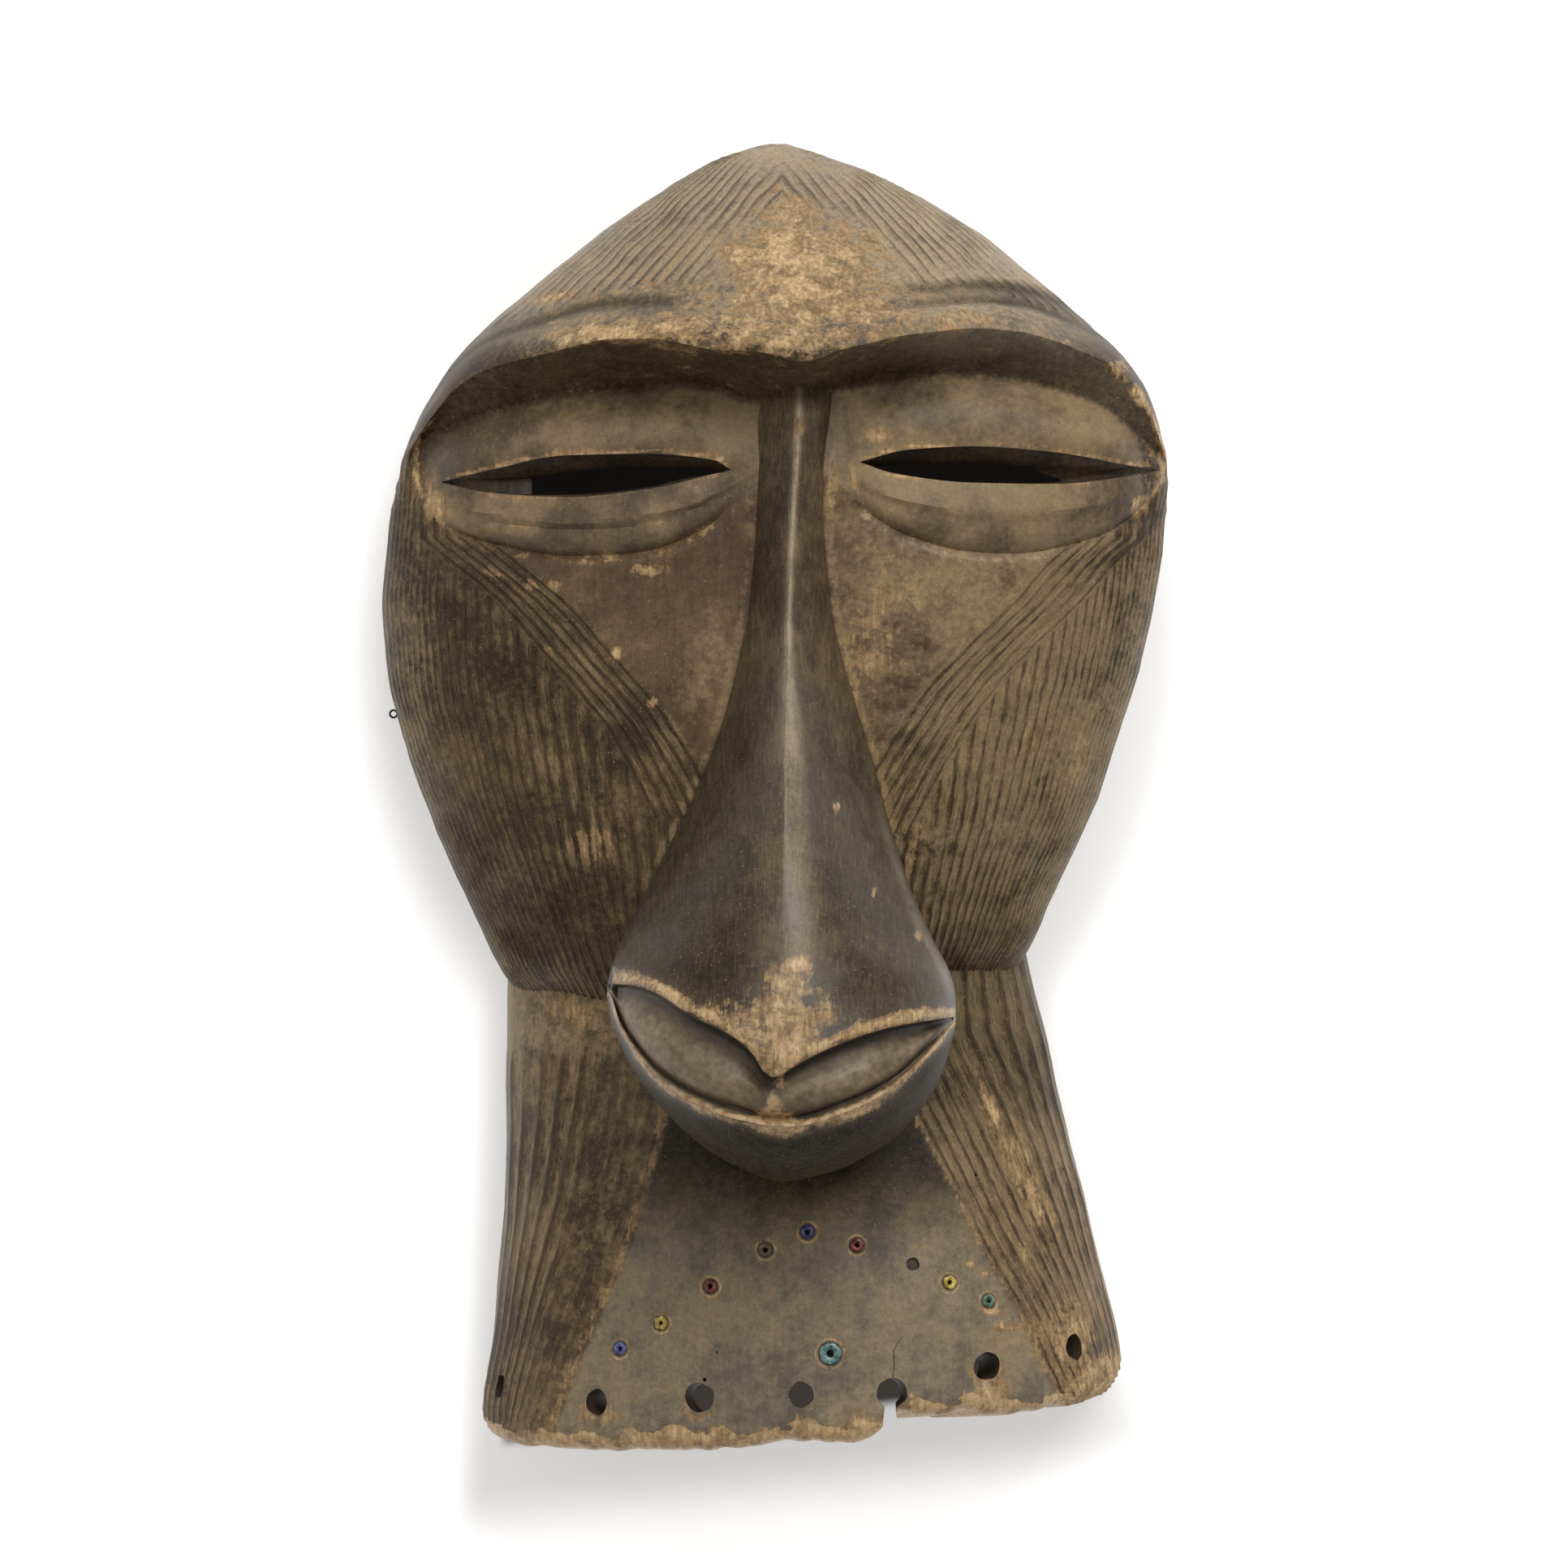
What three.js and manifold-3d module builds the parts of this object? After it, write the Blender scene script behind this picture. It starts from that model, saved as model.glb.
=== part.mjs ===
// Carved wooden monkey mask with a long flared neck, lying face up on its back rim.
// Millimetres: x to the viewer's right, y towards the crown, z out of the face, back rim at z = 0.
//
// Outlines are given as u and v, the way they appear to an eye EYE_HEIGHT above the rim plane,
// at full size on a plane DRAWN_HEIGHT above it. Forms nearer the eye are drawn in by their height.

import * as THREE from 'three';
import { mergeVertices } from 'three/addons/utils/BufferGeometryUtils.js';
import Module from 'manifold-3d';

const wasm = await Module();
wasm.setup();

const EYE_HEIGHT = 1500;
const DRAWN_HEIGHT = 50;
const WALL_DROP = 4; // walls run this far below the rim plane before the rim is cut flat
const WALL_TUCK = 2; // how far the side walls curve in again at the back rim
const RIM_ROUND = 4; // rounding of the worn lower edge of the neck
const BEAD_RADIUS = 1.8;
const BEAD_GAP = 0.3;
const BIG_BEAD_RADIUS = 2.9;

const ARCH_STEPS = 44;
const NECK_STEPS = 32;
const MUZZLE_STEPS = 18;
const HOLLOW_STEPS = 12;

// Head outline: v, left edge, right edge.
const HEAD_OUTLINE = [
  [171.8, -3.6, 0.6],
  [171.1, -7.2, 3.0],
  [169.8, -11.2, 7.4],
  [166.8, -19.4, 15.9],
  [161.5, -28.8, 28.6],
  [150.4, -45.3, 48.1],
  [138.5, -60.5, 64.0],
  [123.2, -78.8, 81.4],
  [114.5, -88.4, 91.9],
  [105.8, -95.4, 98.4],
  [92.7, -100.5, 102.3],
  [84.0, -102.9, 103.0],
  [66.6, -106.3, 101.8],
  [49.2, -107.5, 99.5],
  [29.6, -106.2, 94.9],
  [10.0, -101.4, 88.6],
  [-7.4, -95.1, 82.5],
  [-29.2, -85.6, 72.3],
  [-43.0, -79.2, 66.2],
  [-50.0, -75.6, 61.8],
  [-54.0, -72.5, 60.0],
  [-60.0, -68.0, 56.0],
  [-65.0, -60.0, 48.0],
  [-68.0, -45.0, 35.0],
];
// Height of the forehead and brow, of the eye and cheek ground, and of the wall top, against v.
const FOREHEAD_HEIGHT = [
  [98.0, 121],
  [108.0, 122],
  [117.0, 120.5],
  [123.2, 115.5],
  [131.9, 107.5],
  [141.0, 99],
  [150.4, 89],
  [157.0, 80],
  [162.0, 72],
  [166.8, 62.5],
  [169.8, 54],
  [171.8, 44],
];
const CHEEK_HEIGHT = [
  [-68.0, 36],
  [-62.0, 46],
  [-58.0, 59],
  [-54.0, 68],
  [-50.0, 74],
  [-43.0, 79],
  [-29.2, 84.5],
  [0.0, 90],
  [30.0, 93],
  [60.0, 94],
  [84.0, 95],
  [100.0, 92],
  [125.0, 90],
];
// How far up or down the jaw's lower end is carried, against u.
const JAW_TILT = [
  [-75, 0],
  [-60, -1],
  [-47, -4],
  [0, -2],
  [45, 5],
  [55, 5],
  [66, 3],
];
const WALL_HEIGHT = [
  [-68.0, 32],
  [-30.0, 36],
  [0.0, 40],
  [40.0, 45],
  [70.0, 52],
  [90.0, 57],
  [105.0, 54],
  [125.0, 47],
  [171.8, 40],
];
// Curves across the face, as v against u.
const BROW_EDGE = [
  [-101.4, 88.4],
  [-97.1, 94.9],
  [-93.8, 99.3],
  [-88.4, 105.8],
  [-79.7, 111.2],
  [-62.3, 115.8],
  [-47.0, 119.3],
  [-36.1, 119.5],
  [-20.0, 116.8],
  [-3.5, 115.4],
  [4.1, 113.2],
  [18.3, 117.3],
  [35.0, 120.6],
  [50.9, 122.3],
  [61.8, 121.5],
  [72.7, 118.9],
  [81.4, 115.4],
  [88.0, 112.3],
  [95.6, 104.7],
  [99.9, 96.0],
  [102.1, 88.4],
];
const LID_TOP = [
  [-100.4, 87.0],
  [-94.9, 92.7],
  [-88.4, 94.9],
  [-79.7, 98.8],
  [-62.3, 103.0],
  [-47.0, 104.9],
  [-25.3, 106.5],
  [-17.6, 105.8],
  [-10.0, 102.5],
  [4.1, 101.4],
  [13.9, 105.4],
  [29.2, 108.0],
  [46.6, 109.7],
  [61.8, 108.6],
  [72.7, 105.8],
  [83.6, 101.9],
  [94.5, 93.8],
  [102.1, 86.0],
];
const LID_CREASE = [
  [-99.0, 78.0],
  [-90.6, 69.2],
  [-79.7, 64.9],
  [-57.9, 61.2],
  [-47.0, 61.4],
  [-36.1, 62.7],
  [-20.9, 68.8],
  [-12.0, 76.0],
  [11.0, 82.0],
  [20.5, 74.2],
  [33.5, 66.6],
  [50.9, 62.3],
  [61.8, 61.8],
  [83.6, 66.2],
  [96.7, 74.9],
  [101.0, 80.8],
];
const SLIT_LINE = [
  [-103.0, 80.6],
  [-91.7, 81.0],
  [-57.9, 82.6],
  [-14.4, 84.3],
  [20.5, 86.4],
  [50.9, 85.7],
  [83.6, 84.5],
  [103.0, 84.3],
];
// Eye slits: upper and lower edge, and the part of each that is open right through.
const EYES = [
  {
    upper: [[-91.7, 81.1], [-79.7, 84.0], [-57.9, 88.2], [-36.1, 88.6], [-18.7, 86.9], [-14.4, 84.4]],
    lower: [[-91.7, 80.9], [-79.7, 78.2], [-57.9, 77.0], [-36.1, 79.2], [-18.7, 83.2], [-14.4, 84.2]],
    openUpper: [[-67.7, 81.9], [-57.9, 83.8], [-36.1, 85.1], [-25.3, 84.8], [-17.6, 83.8]],
    openLower: [[-67.7, 76.8], [-57.9, 77.3], [-36.1, 79.7], [-25.3, 82.3], [-17.6, 83.5]],
  },
  {
    upper: [[20.5, 86.5], [33.5, 89.7], [50.9, 90.6], [72.7, 89.0], [94.5, 85.1], [99.9, 84.4]],
    lower: [[20.5, 86.3], [29.2, 83.4], [50.9, 80.8], [72.7, 80.5], [94.5, 82.9], [99.9, 84.1]],
    openUpper: [[24.8, 85.2], [33.5, 85.9], [50.9, 86.3], [61.8, 85.5], [74.2, 81.7]],
    openLower: [[24.8, 84.6], [33.5, 82.3], [50.9, 80.9], [61.8, 80.4], [74.2, 80.8]],
  },
];

// Nose and muzzle: v, left edge, ridge, right edge, ridge height, side height, back height, fullness.
const MUZZLE = [
  [117.0, -5.0, 4.1, 13.0, 97, 88, 60, 1.1],
  [108.0, -6.7, 4.1, 13.9, 101, 89, 60, 1.1],
  [90.6, -8.1, 3.5, 12.0, 107, 92, 60, 1.1],
  [68.8, -8.1, 2.2, 11.1, 112, 93, 60, 1.1],
  [47.0, -9.8, 1.3, 13.1, 118, 92, 60, 1.14],
  [36.1, -12.0, 0.9, 15.2, 122, 91.5, 60, 1.17],
  [25.3, -14.4, 0.7, 18.3, 126, 91, 60, 1.2],
  [14.4, -17.4, 0.4, 21.3, 130, 90.5, 60, 1.25],
  [3.5, -21.3, 0.2, 24.6, 134.5, 90, 60, 1.32],
  [-7.4, -26.1, 0.2, 27.4, 139, 91, 60, 1.4],
  [-18.3, -31.8, 0.2, 30.7, 143.5, 94, 60, 1.5],
  [-29.2, -37.2, 0.2, 34.4, 148, 98, 60, 1.65],
  [-40.1, -42.7, 0.2, 39.2, 152, 104, 60, 1.85],
  [-50.9, -46.8, -0.2, 44.6, 156, 110, 58, 2.1],
  [-56.4, -47.5, -0.7, 45.9, 158, 112, 57, 2.2],
  [-61.8, -46.7, -1.3, 46.2, 159.5, 114, 56, 2.25],
  [-72.7, -42.7, -2.4, 44.0, 161, 117, 55, 2.3],
  [-79.0, -39.0, -2.8, 41.8, 160.5, 118, 58, 2.3],
  [-86.0, -33.4, -3.0, 37.6, 157, 119, 66, 2.3],
  [-94.5, -25.3, -2.4, 30.3, 150, 120, 80, 2.3],
  [-101.0, -15.9, -2.0, 20.0, 141, 120, 97, 2.2],
  [-104.3, -8.9, -1.7, 12.2, 133, 120, 108, 2.1],
  [-106.5, -3.2, -1.3, 1.6, 125, 120, 117, 2.0],
];
const UPPER_LIP = [
  [-48.0, -53.6],
  [-42.7, -53.8],
  [-36.1, -55.3],
  [-25.3, -61.8],
  [-14.4, -67.3],
  [-9.0, -71.5],
  [-4.6, -78.0],
  [-2.4, -78.8],
  [-0.2, -77.5],
  [7.4, -73.1],
  [18.3, -68.4],
  [29.2, -65.1],
  [46.6, -62.3],
];
const LOWER_LIP = [
  [-48.0, -54.6],
  [-46.6, -56.4],
  [-43.8, -65.1],
  [-39.4, -72.7],
  [-34.0, -79.2],
  [-25.3, -85.1],
  [-14.4, -89.5],
  [-3.5, -91.7],
  [2.0, -91.9],
  [18.3, -87.3],
  [29.2, -81.4],
  [40.1, -70.5],
  [46.6, -62.6],
];

// Neck: v, left edge, right edge, height, and the broken lower edge as v against u.
const NECK = [
  [-36.0, -72.0, 63.0, 60],
  [-50.0, -74.0, 65.8, 66],
  [-61.8, -74.3, 68.8, 69.5],
  [-83.6, -74.4, 73.8, 74],
  [-105.4, -74.5, 79.0, 78],
  [-127.1, -76.2, 84.2, 81],
  [-148.9, -78.2, 89.3, 83],
  [-169.6, -80.8, 92.1, 85],
  [-182.0, -81.6, 93.0, 86],
];
const NECK_WALL_HEIGHT = 24;
const LOWER_EDGE = [
  [-81.4, -171.0],
  [-79.7, -174.8],
  [-74.0, -177.0],
  [-60.0, -178.3],
  [-25.3, -178.5],
  [-12.0, -178.1],
  [2.0, -176.1],
  [18.3, -176.6],
  [22.6, -175.9],
  [26.8, -173.4],
  [30.2, -168.3],
  [42.0, -169.4],
  [50.9, -168.3],
  [59.6, -169.2],
  [72.7, -167.8],
  [81.4, -165.9],
  [88.0, -163.7],
  [91.2, -160.9],
  [93.0, -157.0],
];
const NECK_ROWS = [0, 0.15, 0.3, 0.45, 0.6, 0.75, 0.89, 0.968, 0.99, 1];
// The broken-out hole: its place, radius, the sides of its mouth, and the extra neck column there.
const NOTCH = { u: 29.0, v: -163.3, radius: 4.0, mouth: [26.9, 30.4], turn: 0.575 };
// Costume holes along the lower edge: u, v, radius.
const COSTUME_HOLES = [
  [-76.0, -161.5, 3.0],
  [-50.3, -165.9, 3.4],
  [-22.6, -164.6, 3.8],
  [4.6, -163.7, 3.3],
  [54.4, -156.1, 3.7],
  [77.9, -151.1, 3.4],
];

// Hollow back: v, left, right, top. It opens through the back rim and the lower end.
const HOLLOW = [
  [161, -9, 8, 24],
  [154, -29, 29, 46],
  [146, -40, 43, 60],
  [134, -56, 59, 76],
  [120, -73, 75, 86],
  [103, -87, 89, 86],
  [86, -93, 93, 83],
  [64, -96, 91, 83],
  [38, -97, 87, 84],
  [16, -93, 81, 83],
  [-8, -85, 73, 81],
  [-30, -76, 62, 75],
  [-46, -68, 56, 60],
  [-62, -65.5, 59, 58],
  [-100, -65.5, 68, 65],
  [-150, -69.5, 80, 71],
  [-200, -74, 86, 77],
];
const HOLLOW_WALL_HEIGHT = 20;
// Recess behind the nose and mouth: v, left, right, top.
const FACE_RECESS = [
  [14, -8, 9, 84],
  [2, -16, 16, 98],
  [-20, -24, 24, 113],
  [-45, -30, 29, 121],
  [-66, -28, 27, 119],
  [-78, -18, 18, 104],
  [-84, -8, 8, 78],
];

// Beads let into the neck, as u, v and colour.
const SEED_BEADS = [
  ['bead_blue_upper', 6.3, -120.2, '#4a4f86'],
  ['bead_red_upper', 19.6, -123.7, '#7d2f2a'],
  ['bead_brown', -5.0, -125.0, '#6a5644'],
  ['bead_yellow_right', 44.4, -133.7, '#b5a13c'],
  ['bead_green', 54.9, -138.7, '#4f7c66'],
  ['bead_red_lower', -19.8, -134.8, '#7d2f2a'],
  ['bead_yellow_left', -33.1, -144.6, '#b5a13c'],
  ['bead_blue_lower', -44.0, -151.5, '#474d8c'],
];
const EMPTY_SOCKET = [34.6, -128.7];
const BIG_BEAD = ['bead_turquoise', 12.4, -152.8, '#5f8f93'];
// Wire eye: its place, the radius of wire and loop, how far out the loop is, its stem and the stem's socket.
const WIRE = { y: 19.2, z: 20, radius: 0.3, loop: 1.0, reach: 106.9, stem: 6, socket: 8, setBack: 0.8 };

const WOOD = '#63533f';

// Smooth curve through rows of [at, value ...], held flat beyond its ends, without overshoot.
function curve(rows, column = 1) {
  const points = rows.map((row) => [row[0], row[column]]).sort((a, b) => a[0] - b[0]);
  const last = points.length - 1;
  const slopes = [];
  for (let i = 0; i < last; i += 1) {
    slopes.push((points[i + 1][1] - points[i][1]) / (points[i + 1][0] - points[i][0]));
  }
  const tangents = points.map((_, i) => {
    if (i === 0) return slopes[0];
    if (i === last) return slopes[last - 1];
    const [before, after] = [slopes[i - 1], slopes[i]];
    return before * after <= 0 ? 0 : (2 * before * after) / (before + after);
  });
  return (at) => {
    const x = Math.min(Math.max(at, points[0][0]), points[last][0]);
    let i = 0;
    while (i < last - 1 && x > points[i + 1][0]) i += 1;
    const width = points[i + 1][0] - points[i][0];
    const t = (x - points[i][0]) / width;
    const [a, b] = [points[i][1], points[i + 1][1]];
    const [ma, mb] = [tangents[i] * width, tangents[i + 1] * width];
    return a * (1 + 2 * t) * (1 - t) ** 2 + ma * t * (1 - t) ** 2
      + b * t * t * (3 - 2 * t) - mb * t * t * (1 - t);
  };
}

const clamp = (value) => Math.min(Math.max(value, 0), 1);
const bump = (distance, width) => Math.exp(-((distance / width) ** 2));

// The point of the mask that is seen at u, v and lies z above the rim plane.
function seen(u, v, z, wall = 0) {
  const scale = (EYE_HEIGHT - Math.max(z, wall)) / (EYE_HEIGHT - DRAWN_HEIGHT);
  return [u * scale, v * scale, z];
}

// An arch across the mask: up one wall, over the face and down the other wall.
// Its points are u, z, the share of the full height, and the height of the wall top.
function arch(left, right, wall, top, fullness, turns) {
  const middle = (left + right) / 2;
  const half = (right - left) / 2;
  const points = [];
  for (const turn of turns) {
    const angle = Math.PI * (1 - turn);
    const across = Math.sign(Math.cos(angle)) * Math.abs(Math.cos(angle)) ** (2 / fullness);
    const share = Math.abs(Math.sin(angle)) ** (2 / fullness);
    points.push({ u: middle + half * across, z: wall + (top - wall) * share, share });
  }
  const foot = (side) => [-WALL_DROP, wall * 0.45].map((z) => {
    const tuck = WALL_TUCK * (1 - clamp(z / wall)) ** 2;
    return { u: middle + side * Math.max(half - tuck, half * 0.5), z, share: 0 };
  });
  return [...foot(-1), ...points, ...foot(1).reverse()];
}

const evenly = (steps) => Array.from({ length: steps + 1 }, (_, i) => i / steps);
const HEAD_TURNS = evenly(ARCH_STEPS);
const NECK_TURNS = [...evenly(NECK_STEPS), NOTCH.turn].sort((a, b) => a - b);

// A closed body over rows of points, each row a closed loop, with a fan at each end.
function loft(rows) {
  const count = rows[0].length;
  const points = rows.flat();
  const faces = [];
  for (let i = 0; i + 1 < rows.length; i += 1) {
    for (let j = 0; j < count; j += 1) {
      const [a, b] = [i * count + j, i * count + ((j + 1) % count)];
      faces.push([a, b, b + count], [a, b + count, a + count]);
    }
  }
  for (const [row, turn] of [[0, true], [rows.length - 1, false]]) {
    const centre = [0, 1, 2].map((k) => rows[row].reduce((sum, p) => sum + p[k], 0) / count);
    points.push(centre);
    for (let j = 0; j < count; j += 1) {
      const [a, b] = [row * count + j, row * count + ((j + 1) % count)];
      faces.push(turn ? [points.length - 1, b, a] : [points.length - 1, a, b]);
    }
  }
  const geometry = new THREE.BufferGeometry();
  geometry.setAttribute('position', new THREE.Float32BufferAttribute(points.flat(), 3));
  geometry.setIndex(volume(points, faces) < 0 ? faces.map((f) => f.reverse()).flat() : faces.flat());
  return geometry;
}

function volume(points, faces) {
  const [a, b, c] = [new THREE.Vector3(), new THREE.Vector3(), new THREE.Vector3()];
  let sum = 0;
  for (const [i, j, k] of faces) {
    sum += a.fromArray(points[i]).dot(b.fromArray(points[j]).cross(c.fromArray(points[k])));
  }
  return sum / 6;
}

function solid(geometry) {
  const bare = geometry.clone();
  bare.deleteAttribute('normal');
  bare.deleteAttribute('uv');
  const merged = mergeVertices(bare, 1e-4);
  return new wasm.Manifold(new wasm.Mesh({
    numProp: 3,
    vertProperties: new Float32Array(merged.attributes.position.array),
    triVerts: new Uint32Array(merged.index.array),
  }));
}

function geometryOf(body) {
  const mesh = body.getMesh();
  const geometry = new THREE.BufferGeometry();
  geometry.setAttribute('position', new THREE.Float32BufferAttribute(mesh.vertProperties, 3));
  geometry.setIndex(Array.from(mesh.triVerts));
  geometry.computeVertexNormals();
  return geometry;
}

const head = {
  left: curve(HEAD_OUTLINE, 1),
  right: curve(HEAD_OUTLINE, 2),
  forehead: curve(FOREHEAD_HEIGHT),
  cheek: curve(CHEEK_HEIGHT),
  wall: curve(WALL_HEIGHT),
  browEdge: curve(BROW_EDGE),
  lidTop: curve(LID_TOP),
  crease: curve(LID_CREASE),
  slit: curve(SLIT_LINE),
  jawTilt: curve(JAW_TILT),
};
const lids = EYES.map((eye) => ({ upper: curve(eye.upper), lower: curve(eye.lower) }));

// Brow, lids and sockets: how far the face stands above its plain arch, in full height.
function browShare(u, v) {
  const [top, bottom] = [head.browEdge(u), head.lidTop(u)];
  return clamp((v - bottom) / Math.max(top - bottom, 1.5)) ** 1.5;
}

function faceRelief(u, v) {
  const side = u < 4 ? 0 : 1;
  const [from, to] = [EYES[side].upper[0][0], EYES[side].upper.at(-1)[0]];
  const inEye = clamp((u - from + 4) / 14) * clamp((to + 4 - u) / 14);
  const [upper, lower] = [lids[side].upper(u), lids[side].lower(u)];
  let relief = 2.2 * bump(v - head.browEdge(u) - 4, 4.5);
  if (v >= head.slit(u)) {
    const across = clamp((head.lidTop(u) - v) / Math.max(head.lidTop(u) - upper, 1));
    relief += inEye * (3.4 * Math.sin(Math.PI * across) - 1.2 * (1 - across) * clamp(5 * across) + 1.4 * across);
  } else {
    const across = clamp((lower - v) / Math.max(lower - head.crease(u), 1));
    relief += inEye * 1.8 * Math.sin(Math.PI * across);
  }
  relief -= inEye * 1.3 * bump(v - head.crease(u), 2);
  relief -= 4 * bump(u + 96, 6) * bump(v - 84, 8);
  relief -= 3.5 * bump(u - 97, 5) * bump(v - 87, 8);
  return relief;
}

function headHeight(u, v, share) {
  const wall = head.wall(v);
  const lift = head.jawTilt(u) * clamp((-20 - v) / 20);
  const [low, high] = [head.cheek(v - lift), head.forehead(v)];
  const top = v > 84 ? low + (high - low) * browShare(u, v) : low;
  return wall + (top - wall) * share + faceRelief(u, v) * Math.min(1, share * 2.5);
}

// Rows of the head run level, except between brow and cheek, where they follow the carving.
const level = (v) => () => v;
const above = (line, rise) => (u) => line(u) + rise;
const HEAD_LINES = [
  ...[171.8, 171.1, 169.8, 166.8, 161, 153, 144, 135.5].map((v) => [level(v), 1]),
  [above(head.browEdge, 7), 5],
  [above(head.browEdge, 3.6), 1],
  [head.browEdge, 1],
  [head.lidTop, 4],
  [head.slit, 4],
  [head.crease, 3],
  [level(52), 3],
  ...[37, 19, 2, -15, -29, -39, -46, -52, -57, -62, -68].map((v) => [level(v), 1]),
];

function headForm() {
  const point = (line, index) => {
    let v = line(0);
    let spot;
    for (let pass = 0; pass < 6; pass += 1) {
      const wall = head.wall(v);
      spot = arch(head.left(v), head.right(v), wall, wall + 1, 2.15, HEAD_TURNS)[index];
      v = line(spot.u);
    }
    const z = spot.share > 0 ? headHeight(spot.u, v, spot.share) : spot.z;
    return seen(spot.u, v, z, spot.share > 0 ? 0 : head.wall(v));
  };
  const rows = [];
  HEAD_LINES.forEach(([line, steps], order) => {
    const previous = order > 0 ? HEAD_LINES[order - 1][0] : line;
    for (let step = 1; step <= steps; step += 1) {
      const between = (u) => previous(u) + ((line(u) - previous(u)) * step) / steps;
      rows.push(Array.from({ length: HEAD_TURNS.length + 4 }, (_, index) => point(between, index)));
    }
  });
  return loft(rows);
}

const muzzle = [1, 2, 3, 4, 5, 6, 7].map((column) => curve(MUZZLE, column));
const lips = { upper: curve(UPPER_LIP), lower: curve(LOWER_LIP) };

function muzzleHeight(u, v) {
  const [left, ridge, right, top, side, , fullness] = muzzle.map((f) => f(v));
  const across = Math.abs(u - ridge) / (u < ridge ? ridge - left : right - ridge);
  return side + (top - side) * (1 - Math.min(across, 1) ** fullness) ** (1 / fullness);
}

// The mouth: a flat lower lip set back beneath the upper one, with a thin raised rim.
function mouthCutter() {
  const above = 200;
  const steps = 16;
  const [from, to] = [-47, 45.4];
  const profile = [[0.12, 0.8], [0.2, 1], [0.5, 0.55], [0.78, 0.55], [0.87, 0.7], [0.94, 0.4]];
  const rows = [];
  for (let i = 0; i <= steps; i += 1) {
    const u = from + (to - from) * (0.5 - 0.5 * Math.cos((Math.PI * i) / steps));
    const [upper, lower] = [lips.upper(u), lips.lower(u)];
    const gap = Math.max(upper - lower, 0.6);
    const depth = 6.2 * Math.min(1, gap / 10);
    const floor = profile.map(([share, back]) => {
      const v = upper - gap * share;
      return [u, v, muzzleHeight(u, v) - depth * back];
    });
    const edges = [upper, upper - gap].map((v) => [u, v, muzzleHeight(u, v) + 0.05]);
    const loop = [[u, upper, above], edges[0], ...floor, edges[1], [u, upper - gap, above]];
    rows.push(loop.map(([a, v, z]) => seen(a, v, z)));
  }
  return loft(rows);
}

function muzzleForm() {
  return loft(MUZZLE.map(([v, left, ridge, right, , side, back, fullness]) => {
    const loop = [];
    for (let i = 0; i <= MUZZLE_STEPS; i += 1) {
      const angle = Math.PI * (1 - i / MUZZLE_STEPS);
      const across = Math.sign(Math.cos(angle)) * Math.abs(Math.cos(angle)) ** (2 / fullness);
      const u = ridge + across * (across < 0 ? ridge - left : right - ridge);
      loop.push(seen(u, v, muzzleHeight(u, v)));
    }
    const under = 5;
    for (let i = 1; i < under; i += 1) {
      const angle = (Math.PI * i) / under;
      const across = Math.sign(Math.cos(angle)) * Math.abs(Math.cos(angle)) ** 0.5;
      const share = Math.abs(Math.sin(angle)) ** 0.5;
      const u = ridge + across * (across < 0 ? ridge - left : right - ridge);
      loop.push(seen(u, v, side - (side - back) * share));
    }
    return loop;
  }));
}

const neck = [1, 2, 3].map((column) => curve(NECK, column));
const lowerEdge = curve(LOWER_EDGE);

function neckArch(v, inset) {
  const [left, right, top] = neck.map((f) => f(v));
  return arch(left + inset, right - inset, NECK_WALL_HEIGHT, top - inset, 2.3, NECK_TURNS);
}

function neckForm() {
  const start = NECK[0][0];
  return loft(NECK_ROWS.map((share) => {
    const nominal = start + share * (-175 - start);
    const first = neckArch(nominal, 0);
    return first.map((point, index) => {
      const v = start + share * (lowerEdge(point.u) - start);
      const past = clamp((RIM_ROUND + 1 - (1 - share) * 140) / (RIM_ROUND + 1));
      const inset = RIM_ROUND * (1 - Math.sqrt(1 - past * past));
      const spot = neckArch(v, inset)[index];
      return seen(spot.u, v, spot.z, NECK_WALL_HEIGHT);
    });
  }));
}

function hollowForm(stations, wall, floor, steps) {
  return loft(stations.map(([v, left, right, top]) => {
    const middle = (left + right) / 2;
    const half = (right - left) / 2;
    const loop = [[middle - half, v, floor]];
    for (let i = 0; i <= steps; i += 1) {
      const angle = Math.PI * (1 - i / steps);
      const across = Math.sign(Math.cos(angle)) * Math.abs(Math.cos(angle)) ** (2 / 2.2);
      const share = Math.abs(Math.sin(angle)) ** (2 / 2.2);
      loop.push([middle + half * across, v, wall + (top - wall) * share]);
    }
    loop.push([middle + half, v, floor]);
    return loop.map(([u, at, z]) => seen(u, at, z, wall));
  }));
}

// Eye slit: a tapering groove as wide as the lids, with an opening through its deeper part.
function eyeCutter(eye) {
  const steps = 9;
  const share = (i) => i / steps;
  const along = (edge, i) => {
    const [from, to] = [edge[0][0], edge[edge.length - 1][0]];
    const u = from + (to - from) * share(i);
    return [u, curve(edge)(u)];
  };
  const loop = (above, below, height) => {
    const top = Array.from({ length: steps + 1 }, (_, i) => along(above, i));
    const bottom = Array.from({ length: steps + 1 }, (_, i) => along(below, steps - i));
    return [...top, ...bottom].map(([u, v]) => seen(u, v, height(u, v)));
  };
  const surface = (u, v) => {
    const half = (head.right(v) - head.left(v)) / 2;
    const across = Math.abs(u - (head.right(v) + head.left(v)) / 2) / half;
    return headHeight(u, v, (1 - across ** 2.15) ** (1 / 2.15));
  };
  return loft([
    loop(eye.upper, eye.lower, () => 130),
    loop(eye.upper, eye.lower, (u, v) => surface(u, v) - 0.4),
    loop(eye.openUpper, eye.openLower, (u, v) => surface(u, v) - 7),
    loop(eye.openUpper, eye.openLower, () => 40),
  ]);
}

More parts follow.
